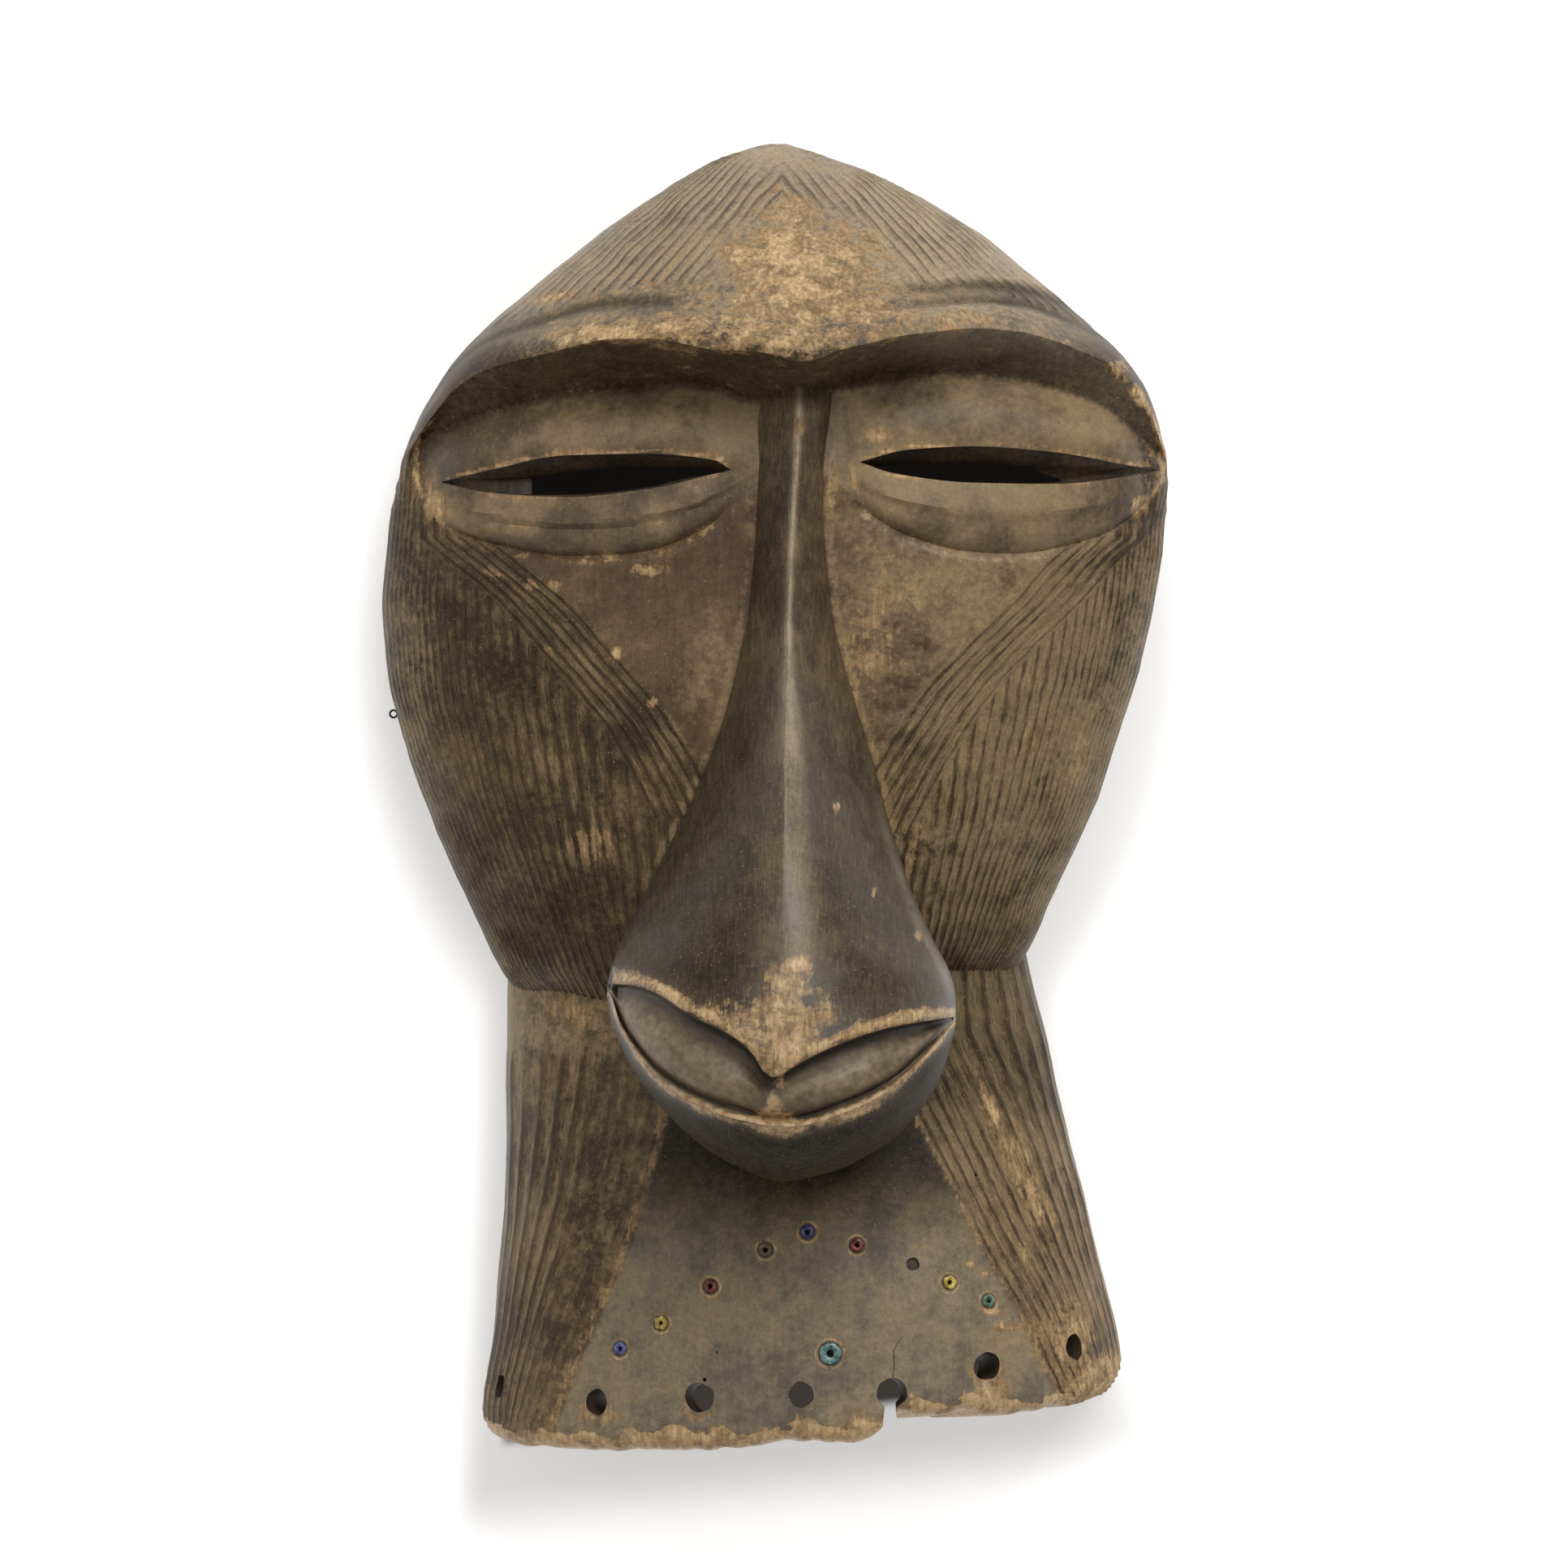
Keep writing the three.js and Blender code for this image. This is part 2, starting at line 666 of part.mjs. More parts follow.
function cylinder(radius, length, segments, position, direction) {
  const geometry = new THREE.CylinderGeometry(radius, radius, length, segments);
  const turn = new THREE.Quaternion().setFromUnitVectors(new THREE.Vector3(0, 1, 0), direction);
  geometry.applyMatrix4(new THREE.Matrix4().compose(position, turn, new THREE.Vector3(1, 1, 1)));
  return geometry;
}

// The point of the neck seen at u, v, and the way it faces.
function onNeck(u, v) {
  const point = (a, b) => {
    const [left, right, top] = neck.map((f) => f(b));
    const across = Math.abs(a - (left + right) / 2) / ((right - left) / 2);
    const share = (1 - Math.min(across, 0.999) ** 2.3) ** (1 / 2.3);
    return new THREE.Vector3(...seen(a, b, NECK_WALL_HEIGHT + (top - NECK_WALL_HEIGHT) * share));
  };
  const centre = point(u, v);
  const across = point(u + 0.5, v).sub(centre);
  const along = point(u, v + 0.5).sub(centre);
  return { position: centre, normal: across.cross(along).normalize() };
}

function socketCutter(u, v, radius) {
  const { position, normal } = onNeck(u, v);
  return cylinder(radius + BEAD_GAP, 5, 8, position, normal);
}

function bead(u, v, radius) {
  const hole = radius * 0.3;
  const outline = [
    [hole, -2.0],
    [radius, -2.0],
    [radius, 0.15],
    [radius * 0.72, 0.5],
    [hole, 0.2],
  ].map(([r, h]) => new THREE.Vector2(r, h));
  const geometry = new THREE.LatheGeometry([...outline, outline[0]], 8);
  const { position, normal } = onNeck(u, v);
  const turn = new THREE.Quaternion().setFromUnitVectors(new THREE.Vector3(0, 1, 0), normal);
  geometry.applyMatrix4(new THREE.Matrix4().compose(position, turn, new THREE.Vector3(1, 1, 1)));
  return geometryOf(solid(geometry));
}

function notchCutter() {
  const { position, normal } = onNeck(NOTCH.u, NOTCH.v);
  const round = solid(cylinder(NOTCH.radius, 50, 12, position, normal));
  const [left, right] = NOTCH.mouth.map((u) => seen(u, 0, 82)[0]);
  const slot = new THREE.BoxGeometry(right - left, 24, 60);
  slot.translate((left + right) / 2, position.y - 12, position.z);
  return round.add(solid(slot));
}

function wireEye() {
  const ring = new THREE.TorusGeometry(WIRE.loop, WIRE.radius, 6, 12);
  ring.translate(-WIRE.reach, WIRE.y, WIRE.z);
  const middle = new THREE.Vector3(-WIRE.reach + WIRE.loop + WIRE.stem / 2, WIRE.y, WIRE.z);
  const stem = cylinder(WIRE.radius, WIRE.stem, 8, middle, new THREE.Vector3(1, 0, 0));
  return geometryOf(solid(ring).add(solid(stem)));
}

function wireSocket() {
  const start = -WIRE.reach + WIRE.loop + WIRE.setBack;
  const middle = new THREE.Vector3(start + WIRE.socket / 2, WIRE.y, WIRE.z);
  return cylinder(WIRE.radius + BEAD_GAP, WIRE.socket, 10, middle, new THREE.Vector3(1, 0, 0));
}

function maskGeometry() {
  let body = solid(headForm()).add(solid(neckForm())).add(solid(muzzleForm()));
  const cuts = [
    solid(hollowForm(HOLLOW, HOLLOW_WALL_HEIGHT, -10, HOLLOW_STEPS)),
    solid(hollowForm(FACE_RECESS, 60, 40, 8)),
    ...EYES.map((eye) => solid(eyeCutter(eye))),
    solid(mouthCutter()),
    ...COSTUME_HOLES.map(([u, v, radius]) => {
      const { position, normal } = onNeck(u, v);
      return solid(cylinder(radius, 50, 10, position, normal));
    }),
    notchCutter(),
    ...SEED_BEADS.map(([, u, v]) => solid(socketCutter(u, v, BEAD_RADIUS))),
    solid(socketCutter(...EMPTY_SOCKET, BEAD_RADIUS)),
    solid(socketCutter(BIG_BEAD[1], BIG_BEAD[2], BIG_BEAD_RADIUS)),
    solid(wireSocket()),
  ];
  for (const cut of cuts) {
    body = body.subtract(cut);
  }
  const below = new THREE.BoxGeometry(400, 500, 40);
  below.translate(0, 0, -20);
  return geometryOf(body.subtract(solid(below)));
}

function piece(name, geometry, colour, roughness, metalness = 0) {
  const material = new THREE.MeshStandardMaterial({ color: colour, roughness, metalness });
  material.name = name;
  const mesh = new THREE.Mesh(geometry, material);
  mesh.name = name;
  return mesh;
}

const model = new THREE.Group();
model.add(piece('mask', maskGeometry(), WOOD, 0.62));
for (const [name, u, v, colour] of SEED_BEADS) {
  model.add(piece(name, bead(u, v, BEAD_RADIUS), colour, 0.35));
}
model.add(piece(BIG_BEAD[0], bead(BIG_BEAD[1], BIG_BEAD[2], BIG_BEAD_RADIUS), BIG_BEAD[3], 0.3));
model.add(piece('wire_eye', wireEye(), '#3a3128', 0.5, 0.8));

// The origin is the middle of the footprint, on the rim plane.
const box = new THREE.Box3().setFromObject(model);
const middle = box.getCenter(new THREE.Vector3());
for (const mesh of model.children) {
  mesh.geometry.translate(-middle.x, -middle.y, -box.min.z);
}

export default model;
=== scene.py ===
"""Carved wooden monkey mask with beads let into its flared neck, lying face up on a pale floor.

The forms are drawn in millimetres, as an eye EYE_HEIGHT above the back rim sees them: u to the right and
v towards the crown, at full size on a plane DRAWN_HEIGHT above the rim. They are turned to metres last.
"""

import functools
import math

import bpy
import numpy as np
from mathutils import Matrix, Vector


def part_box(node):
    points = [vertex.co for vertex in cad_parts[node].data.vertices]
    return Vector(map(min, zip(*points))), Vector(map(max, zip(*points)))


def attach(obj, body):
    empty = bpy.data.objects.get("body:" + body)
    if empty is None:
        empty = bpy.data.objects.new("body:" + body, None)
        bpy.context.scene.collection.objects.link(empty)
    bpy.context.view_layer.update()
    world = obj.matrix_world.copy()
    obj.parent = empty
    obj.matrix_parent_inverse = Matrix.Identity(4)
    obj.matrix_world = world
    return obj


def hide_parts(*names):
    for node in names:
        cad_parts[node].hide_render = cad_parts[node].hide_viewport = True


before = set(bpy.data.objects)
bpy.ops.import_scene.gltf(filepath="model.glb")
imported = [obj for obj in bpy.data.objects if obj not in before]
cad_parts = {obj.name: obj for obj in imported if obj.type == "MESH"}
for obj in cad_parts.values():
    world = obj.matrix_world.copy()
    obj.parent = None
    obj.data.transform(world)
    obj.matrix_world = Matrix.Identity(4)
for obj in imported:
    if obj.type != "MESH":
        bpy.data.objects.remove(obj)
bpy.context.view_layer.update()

# Driving sizes in millimetres, and how full the arches are
EYE_HEIGHT = 1500
DRAWN_HEIGHT = 50
WALL_DROP = 4
WALL_TUCK = 2
RIM_ROUND = 4
BEAD_RADIUS = 1.8
BEAD_SIT = 0.06
BIG_BEAD_RADIUS = 2.9
HEAD_FULLNESS = 2.15
NECK_FULLNESS = 2.3
HOLLOW_FULLNESS = 2.2
NECK_WALL_HEIGHT = 24
HOLLOW_WALL_HEIGHT = 20
# The mouth's left end, width and depth, and how deep the eye slits are
MOUTH_LEFT = -47
MOUTH_WIDTH = 92.4
MOUTH_DEPTH = 7.4
SLIT_DEPTH = 6.6
# Lengths of the pegs that cut holes, half of each in the wood: right through, worm hole, socket, empty socket
CUT_THROUGH = 50
WORM_CUT = 6
SOCKET_CUT = 5
EMPTY_CUT = 2.2
# Wire eye: its place, the radius of wire and loop, how far out the loop is, its stem and the stem's socket
WIRE = {"y": 19.2, "z": 20, "radius": 0.3, "loop": 1, "reach": 106.9, "stem": 6, "socket": 8, "set_back": 0.8}
# Where the left eye's side of the face ends, as u, and the v above which the face rises towards the brow
NOSE_ROOT = 4
EYE_LEVEL = 84
MM = 0.001

# How finely the forms are drawn
HEAD_TURNS = 300
NECK_TURNS = 210
WALL_STEPS = 9
MUZZLE_TURNS = 76

# Head outline: v, left edge, right edge
HEAD_OUTLINE = [
    (171.8, -3.6, 0.6), (171.1, -7.2, 3), (169.8, -11.2, 7.4), (166.8, -19.4, 15.9), (161.5, -28.8, 28.6),
    (150.4, -45.3, 48.1), (138.5, -60.5, 64), (123.2, -78.8, 81.4), (114.5, -88.4, 91.9),
    (105.8, -95.4, 98.4), (92.7, -100.5, 102.3), (84, -102.9, 103), (66.6, -106.3, 101.8),
    (49.2, -107.5, 99.5), (29.6, -106.2, 94.9), (10, -101.4, 88.6), (-7.4, -95.1, 82.5),
    (-29.2, -85.6, 72.3), (-43, -79.2, 66.2), (-50, -75.6, 61.8), (-54, -72.5, 60), (-60, -68, 56),
    (-65, -60, 48), (-68, -45, 35),
]
# Heights against v: forehead and brow, cheek and eye ground, wall top
FOREHEAD_HEIGHT = [
    (98, 121), (108, 122), (117, 120.5), (123.2, 115.5), (131.9, 107.5), (141, 99), (150.4, 89), (157, 80),
    (162, 72), (166.8, 62.5), (169.8, 54), (171.8, 44),
]
CHEEK_HEIGHT = [
    (-68, 36), (-62, 46), (-58, 59), (-54, 68), (-50, 74), (-43, 79), (-29.2, 84.5), (0, 90), (30, 93),
    (60, 94), (84, 95), (100, 92), (125, 90),
]
JAW_TILT = [(-75, 0), (-60, -1), (-47, -4), (0, -2), (45, 5), (55, 5), (66, 3)]
WALL_HEIGHT = [
    (-68, 32), (-30, 36), (0, 40), (40, 45), (70, 52), (90, 57), (105, 54), (125, 47), (171.8, 40),
]
# Curves across the face, as v against u
BROW_EDGE = [
    (-101.4, 88.4), (-97.1, 94.9), (-93.8, 99.3), (-88.4, 105.8), (-79.7, 111.2), (-62.3, 115.8),
    (-47, 119.3), (-36.1, 119.5), (-20, 116.8), (-3.5, 115.4), (4.1, 113.2), (18.3, 117.3), (35, 120.6),
    (50.9, 122.3), (61.8, 121.5), (72.7, 118.9), (81.4, 115.4), (88, 112.3), (95.6, 104.7), (99.9, 96),
    (102.1, 88.4),
]
LID_TOP = [
    (-100.4, 87), (-94.9, 92.7), (-88.4, 94.9), (-79.7, 98.8), (-62.3, 103), (-47, 104.9), (-25.3, 106.5),
    (-17.6, 105.8), (-10, 102.5), (4.1, 101.4), (13.9, 105.4), (29.2, 108), (46.6, 109.7), (61.8, 108.6),
    (72.7, 105.8), (83.6, 101.9), (94.5, 93.8), (102.1, 86),
]
LID_CREASE = [
    (-99, 78), (-90.6, 69.2), (-79.7, 64.9), (-57.9, 61.2), (-47, 61.4), (-36.1, 62.7), (-20.9, 68.8),
    (-12, 76), (11, 82), (20.5, 74.2), (33.5, 66.6), (50.9, 62.3), (61.8, 61.8), (83.6, 66.2), (96.7, 74.9),
    (101, 80.8),
]
SLIT_LINE = [
    (-103, 80.6), (-91.7, 81), (-57.9, 82.6), (-14.4, 84.3), (20.5, 86.4), (50.9, 85.7), (83.6, 84.5),
    (103, 84.3),
]
# Eye slits: upper and lower edge, and the part of each that is open right through
EYES = [
    {
        "upper": [(-91.7, 81.1), (-79.7, 84), (-57.9, 88.2), (-36.1, 88.6), (-18.7, 86.9), (-14.4, 84.4)],
        "lower": [(-91.7, 80.9), (-79.7, 78.2), (-57.9, 77), (-36.1, 79.2), (-18.7, 83.2), (-14.4, 84.2)],
        "open_upper": [(-67.7, 81.9), (-57.9, 83.8), (-36.1, 85.1), (-25.3, 84.8), (-17.6, 83.8)],
        "open_lower": [(-67.7, 76.8), (-57.9, 77.3), (-36.1, 79.7), (-25.3, 82.3), (-17.6, 83.5)],
    },
    {
        "upper": [(20.5, 86.5), (33.5, 89.7), (50.9, 90.6), (72.7, 89), (94.5, 85.1), (99.9, 84.4)],
        "lower": [(20.5, 86.3), (29.2, 83.4), (50.9, 80.8), (72.7, 80.5), (94.5, 82.9), (99.9, 84.1)],
        "open_upper": [(24.8, 85.2), (33.5, 85.9), (50.9, 86.3), (61.8, 85.5), (74.2, 81.7)],
        "open_lower": [(24.8, 84.6), (33.5, 82.3), (50.9, 80.9), (61.8, 80.4), (74.2, 80.8)],
    },
]
# Nose and muzzle: v, left edge, ridge, right edge, ridge height, side height, back height, fullness
MUZZLE = [
    (117, -5, 4.1, 13, 97, 88, 60, 1.1), (108, -6.7, 4.1, 13.9, 101, 89, 60, 1.1),
    (90.6, -8.1, 3.5, 12, 107, 92, 60, 1.1), (68.8, -8.1, 2.2, 11.1, 112, 93, 60, 1.1),
    (47, -9.8, 1.3, 13.1, 118, 92, 60, 1.14), (36.1, -12, 0.9, 15.2, 122, 91.5, 60, 1.17),
    (25.3, -14.4, 0.7, 18.3, 126, 91, 60, 1.2), (14.4, -17.4, 0.4, 21.3, 130, 90.5, 60, 1.25),
    (3.5, -21.3, 0.2, 24.6, 134.5, 90, 60, 1.32), (-7.4, -26.1, 0.2, 27.4, 139, 91, 60, 1.4),
    (-18.3, -31.8, 0.2, 30.7, 143.5, 94, 60, 1.5), (-29.2, -37.2, 0.2, 34.4, 148, 98, 60, 1.65),
    (-40.1, -42.7, 0.2, 39.2, 152, 104, 60, 1.85), (-50.9, -46.8, -0.2, 44.6, 156, 110, 58, 2.1),
    (-56.4, -47.5, -0.7, 45.9, 158, 112, 57, 2.2), (-61.8, -46.7, -1.3, 46.2, 159.5, 114, 56, 2.25),
    (-72.7, -42.7, -2.4, 44, 161, 117, 55, 2.3), (-79, -39, -2.8, 41.8, 160.5, 118, 58, 2.3),
    (-86, -33.4, -3, 37.6, 157, 119, 66, 2.3), (-94.5, -25.3, -2.4, 30.3, 150, 120, 80, 2.3),
    (-101, -15.9, -2, 20, 141, 120, 97, 2.2), (-104.3, -8.9, -1.7, 12.2, 133, 120, 108, 2.1),
    (-106.5, -3.2, -1.3, 1.6, 125, 120, 117, 2),
]
UPPER_LIP = [
    (-48, -53.6), (-42.7, -53.8), (-36.1, -55.3), (-25.3, -61.8), (-14.4, -67.3), (-9, -71.5), (-4.6, -78),
    (-2.4, -78.8), (-0.2, -77.5), (7.4, -73.1), (18.3, -68.4), (29.2, -65.1), (46.6, -62.3),
]
LOWER_LIP = [
    (-48, -54.6), (-46.6, -56.4), (-43.8, -65.1), (-39.4, -72.7), (-34, -79.2), (-25.3, -85.1),
    (-14.4, -89.5), (-3.5, -91.7), (2, -91.9), (18.3, -87.3), (29.2, -81.4), (40.1, -70.5), (46.6, -62.6),
]
# How far the lower lip lies back from the muzzle, against the share of the way down the mouth
LIP_PROFILE = [
    (0, 0), (0.025, 0.8), (0.1, 1.05), (0.2, 1.02), (0.35, 0.82), (0.5, 0.6), (0.7, 0.52), (0.8, 0.58),
    (0.86, 0.72), (0.9, 0.5), (0.935, 0.2), (1, 0),
]
# Neck: v, left edge, right edge, height, and the broken lower edge as v against u
NECK = [
    (-36, -72, 63, 60), (-50, -74, 65.8, 66), (-61.8, -74.3, 68.8, 69.5), (-83.6, -74.4, 73.8, 74),
    (-105.4, -74.5, 79, 78), (-127.1, -76.2, 84.2, 81), (-148.9, -78.2, 89.3, 83),
    (-169.6, -80.8, 92.1, 85), (-182, -81.6, 93, 86),
]
LOWER_EDGE = [
    (-81.4, -171), (-79.7, -174.8), (-74, -177), (-60, -178.3), (-25.3, -178.5), (-12, -178.1), (2, -176.1),
    (18.3, -176.6), (22.6, -175.9), (26.8, -173.4), (30.2, -168.3), (42, -169.4), (50.9, -168.3),
    (59.6, -169.2), (72.7, -167.8), (81.4, -165.9), (88, -163.7), (91.2, -160.9), (93, -157),
]
# The notch broken out of it: its round end, and the left and right of its mouth, as u
NOTCH = (29, -163.3)
NOTCH_RADIUS = 4
NOTCH_MOUTH = (26.9, 30.4)
# Costume holes and worm holes in the neck: u, v, radius
COSTUME_HOLES = [
    (-76, -161.5, 3), (-50.3, -165.9, 3.4), (-22.6, -164.6, 3.8), (4.6, -163.7, 3.3), (54.4, -156.1, 3.7),
    (77.9, -151.1, 3.4),
]
WORM_HOLES = [(-21.3, -159.8, 0.5), (-78, -169, 0.5), (51.2, -104.9, 0.35), (-18, -152.4, 0.25)]

# Hollow back: v, left, right, top, and the recess behind the nose and mouth
HOLLOW = [
    (161, -9, 8, 24), (154, -29, 29, 46), (146, -40, 43, 60), (134, -56, 59, 76), (120, -73, 75, 86),
    (103, -87, 89, 86), (86, -93, 93, 83), (64, -96, 91, 83), (38, -97, 87, 84), (16, -93, 81, 83),
    (-8, -85, 73, 81), (-30, -76, 62, 75), (-46, -68, 56, 60), (-62, -65.5, 59, 58), (-100, -65.5, 68, 65),
    (-150, -69.5, 80, 71), (-200, -74, 86, 77),
]
FACE_RECESS = [
    (14, -8, 9, 84), (2, -16, 16, 98), (-20, -24, 24, 113), (-45, -30, 29, 121), (-66, -28, 27, 119),
    (-78, -18, 18, 104), (-84, -8, 8, 78),
]

# Beads let into the neck: u, v
SEED_BEADS = {
    "bead_blue_upper": (6.3, -120.2),
    "bead_red_upper": (19.6, -123.7),
    "bead_brown": (-5, -125),
    "bead_yellow_right": (44.4, -133.7),
    "bead_green": (54.9, -138.7),
    "bead_red_lower": (-19.8, -134.8),
    "bead_yellow_left": (-33.1, -144.6),
    "bead_blue_lower": (-44, -151.5),
}
BIG_BEAD = (12.4, -152.8)
EMPTY_SOCKET = (34.6, -128.7)
# Split above the notch, and how wide and deep it is
CRACK = [(31.6, -148.4), (29.4, -152), (29.6, -156), (29, -160.5)]
CRACK_WIDTH = 0.2
CRACK_DEPTH = 1.2

# Ground beneath the face, as middle and half size of an oval, and beneath the neck, as lines that bound it:
# how far each is from the origin, the way away from the neck, and where the painted shadow starts and stops
# to fade.
# The ground's glow is painted light: GLOW is how much it glows beneath the neck, beside the mask and far from
# it,
# LEAST_GLOW anywhere; beneath the mask the ground is painted dark as shade
UNDER_FACE = ((0, 45), (106, 128))
UNDER_NECK = [
    (66, -0.998, 0.06, 3, 15), (53.5, 0.977, 0.212, 3, 15), (174, 0.103, -0.995, 8, 30), (20, 0, 1, 7, 30),
]
GLOW = (0.02, 0.46, 0.8)
LEAST_GLOW = 0.004

# Carved lines. Towards the outline they crowd together: EDGE_SPREAD is how much further out they reach there
LINE_PITCH = 5.0
LINE_DEPTH = 0.75
BAND_PITCH = 3.4
BAND_WIDTH = 20
NECK_PITCH = 3.2
HALF_WIDTH = 106
EDGE_SPREAD = 1.5
CENTRE_LINE = -0.5
CUT_SHARPNESS = 1.7
CUT_TONE_SHARPNESS = 3
CREST_SHARPNESS = 4
# How far above the brow's edge the carved lines of the forehead end, against u
BROW_BAND = [
    (-98, 7), (-89, 10), (-58, 12.5), (-25, 16), (0, 18), (25, 15), (51, 10.7), (73, 7.6), (95, 6.7),
]
# The fold that runs along the brow band: its height above the brow's edge, against u
BROW_FOLD = [
    (-98, 5.5), (-80, 7.5), (-58, 9.3), (-28, 9.5), (19, 8.5), (40, 7.2), (62, 7), (84, 6), (95, 5.6),
]
# Where a second fold over the right brow begins, as u
SECOND_FOLD = (20, 36)
# Inner edge of the diagonal bands on the cheeks: v, left, right
BAND_EDGE = [
    (-12, -14, 15), (4.6, -22.3, 23.7), (16.5, -29.6, 31), (24.8, -36.1, 36.8), (37.2, -47, 48.5),
    (49.2, -57.9, 60.8), (60.1, -71, 70.5), (66, -78.5, 77.5),
]
# Where the collar at the left top of the neck ends, as v, and the edges of its smooth front: v, left, right
COLLAR = (-75, -70)
PANEL = [
    (-66, -26.8, 23.7), (-88, -31, 34.6), (-103.2, -35, 42.2), (-120.6, -39.9, 50.9), (-140.2, -48.1, 61.8),
    (-157.6, -55.4, 70.5), (-180, -64, 81),
]
# Patches rubbed through to bare wood: on the face, the muzzle and the neck
FACE_WORN = [
    (5, 137, 21, 17, 0, 0.82), (2, 153, 13, 12, 0, 0.56), (-30, 122, 32, 6, -3, 0.6),
    (-32, 131, 22, 7, 6, 0.45), (20, 127, 17, 9, 0, 0.66), (-3, 121, 30, 7, 0, 0.72),
    (-50, 121, 13, 3, 4, 0.95), (-62, 130.5, 12, 1.6, 8, 0.7), (50, 125, 20, 2.4, 0, 0.45),
    (90, 112, 3, 3, -35, 0.7), (95, 104, 2, 4, 20, 0.7), (75, 119, 3, 1.6, -25, 0.6),
    (43, 123, 16, 1.8, 0, 0.35), (-94, 76, 4, 6, 20, 0.55), (-70, 61.5, 4, 2, 0, 0.6),
    (-22, 68, 5, 2.6, 30, 0.6), (-36, 57.5, 7, 1.8, 0, 0.7), (-50, 61.5, 9, 1.4, 0, 0.4),
    (95, 74, 4, 4, 0, 0.7), (97, 85, 3, 6, 0, 0.55), (26, 93.5, 4, 2.4, 0, 0.7), (20, 79, 2.4, 7, 20, 0.6),
    (-78, 56.5, 3, 1.4, -30, 0.7), (-68, 53.5, 2.4, 1.4, -35, 0.8), (-61.5, 53, 2, 1.4, -35, 0.8),
    (-45, 35, 1.8, 2, -40, 0.8), (-35, 22, 1.8, 2, -40, 0.8), (-63, 36, 2, 1.6, -40, 0.6),
    (-53, -16, 7, 5, 0, 0.6), (79, 7, 3, 9, -10, 0.5), (66, 13, 5, 7, -20, 0.5),
    (33, -22, 4, 14, -14, 0.55), (43, -56, 8, 3, 20, 0.5), (27, 42, 12, 30, -14, 0.36),
]
MUZZLE_WORN = [
    (-1, -62, 17, 7, 0, 0.75), (0, -71, 10, 7, 0, 0.85), (2, -54, 8, 7, 0, 0.7), (4, -49, 4, 3, 0, 0.85),
    (-44, -60, 3, 6, 0, 0.8), (-1, -92.5, 6, 2, 0, 1), (20, -88, 9, 2, 20, 0.9), (4, 96, 1.6, 4, 0, 0.6),
    (24, -29, 1, 1, 0, 1.5), (14, -6.5, 0.9, 1.2, 0, 1.5), (36, -41, 0.8, 1.4, 0, 1.4),
]
NECK_WORN = [
    (-56, -62, 22, 5, -24, 0.55), (77, -148, 8, 11, -20, 0.8), (86, -161, 10, 8, 0, 1.4),
    (68, -146, 3, 9, 20, 0.5), (50, -128.5, 1.6, 0.8, 10, 1), (54, -131, 1.2, 1.6, 20, 1),
    (58, -146, 2, 0.8, -20, 1), (56, -141.5, 5, 1.3, 0, 0.85), (60, -146, 4, 1, 0, 0.85),
    (55, -163, 5, 4, 0, 0.7), (20, -172, 4, 4, 0, 0.8), (-50, -170, 5, 3, 0, 0.7),
    (66, -108, 3, 18, 18, 0.72), (57, -92, 2, 16, 18, 0.75), (62, -104, 1.6, 16, 18, 0.75),
    (72, -118, 2, 16, 14, 0.5), (64, -126, 2, 10, 18, 0.5),
]
# Dusty, dark and grey patches of the face
FACE_DUST = [
    (66, 20, 60, 110, 0, 0.84), (50, 45, 26, 14, 45, 0.85), (32, 52, 24, 18, 0, 0.85),
    (-60, 20, 44, 90, 0, 0.38), (-100, 30, 12, 60, 0, 0.6), (-54, -18, 16, 9, 20, 0.6),
    (-50, 46, 24, 8, -42, 0.5), (-50, -56, 40, 8, -20, 0.65), (-20, 60, 8, 26, 10, 0.6),
    (-24, 26, 8, 24, -24, 0.95),
]
DARK_PLACES = [
    (86, 115, 14, 6, -34, 0.66), (-82, 114, 18, 7, 28, 0.66), (-96, 98, 5, 10, 0, 0.4),
    (-66, 28, 16, 15, 0, 0.45), (-50, -38, 16, 22, 0, 0.35), (-48, 50, 22, 16, -40, 0.2),
    (58, -50, 12, 8, 0, 0.4),
]
GREY_PLACES = [(58, 119, 42, 9, -8, 1), (88, 100, 18, 16, 0, 0.6), (-60, 126, 34, 6, 10, 0.7)]
# Dust on the left and right lids, and how much less there is below the fold of the lower lid
LID_DUST = [(0.5, 0.12), (0.66, 0.08)]
# Worn outer rims of the eye sockets, as u against v
LEFT_RIM = [(70, -92.5), (75.3, -95), (79.7, -98), (84, -98.8), (90.6, -98.6), (98.8, -93.5)]
RIGHT_RIM = [(71, 94.5), (76.4, 98), (82, 101.5), (88.4, 101.8), (95, 100.4), (107, 93.5)]

# Edges that turn by more degrees than this are shaded sharp
SHARP_ANGLE = 40
# Setting, in metres: soft lights as name, place, size and power, the point they face, the world's light, the
# floor's half width, the photograph's width in pixels and the drawing's millimetres for each
SOFTBOXES = [("key", (0.5, 1.1, 1.45), 1.1, 25), ("fill", (-0.9, 0.3, 1.2), 1.0, 3)]
LIT_POINT = (0, 0, 0.05)
WORLD_STRENGTH = 0.33
FLOOR_HALF = 4
PHOTO_WIDTH = 1932
MILLIMETRES_PER_PIXEL = 0.2177


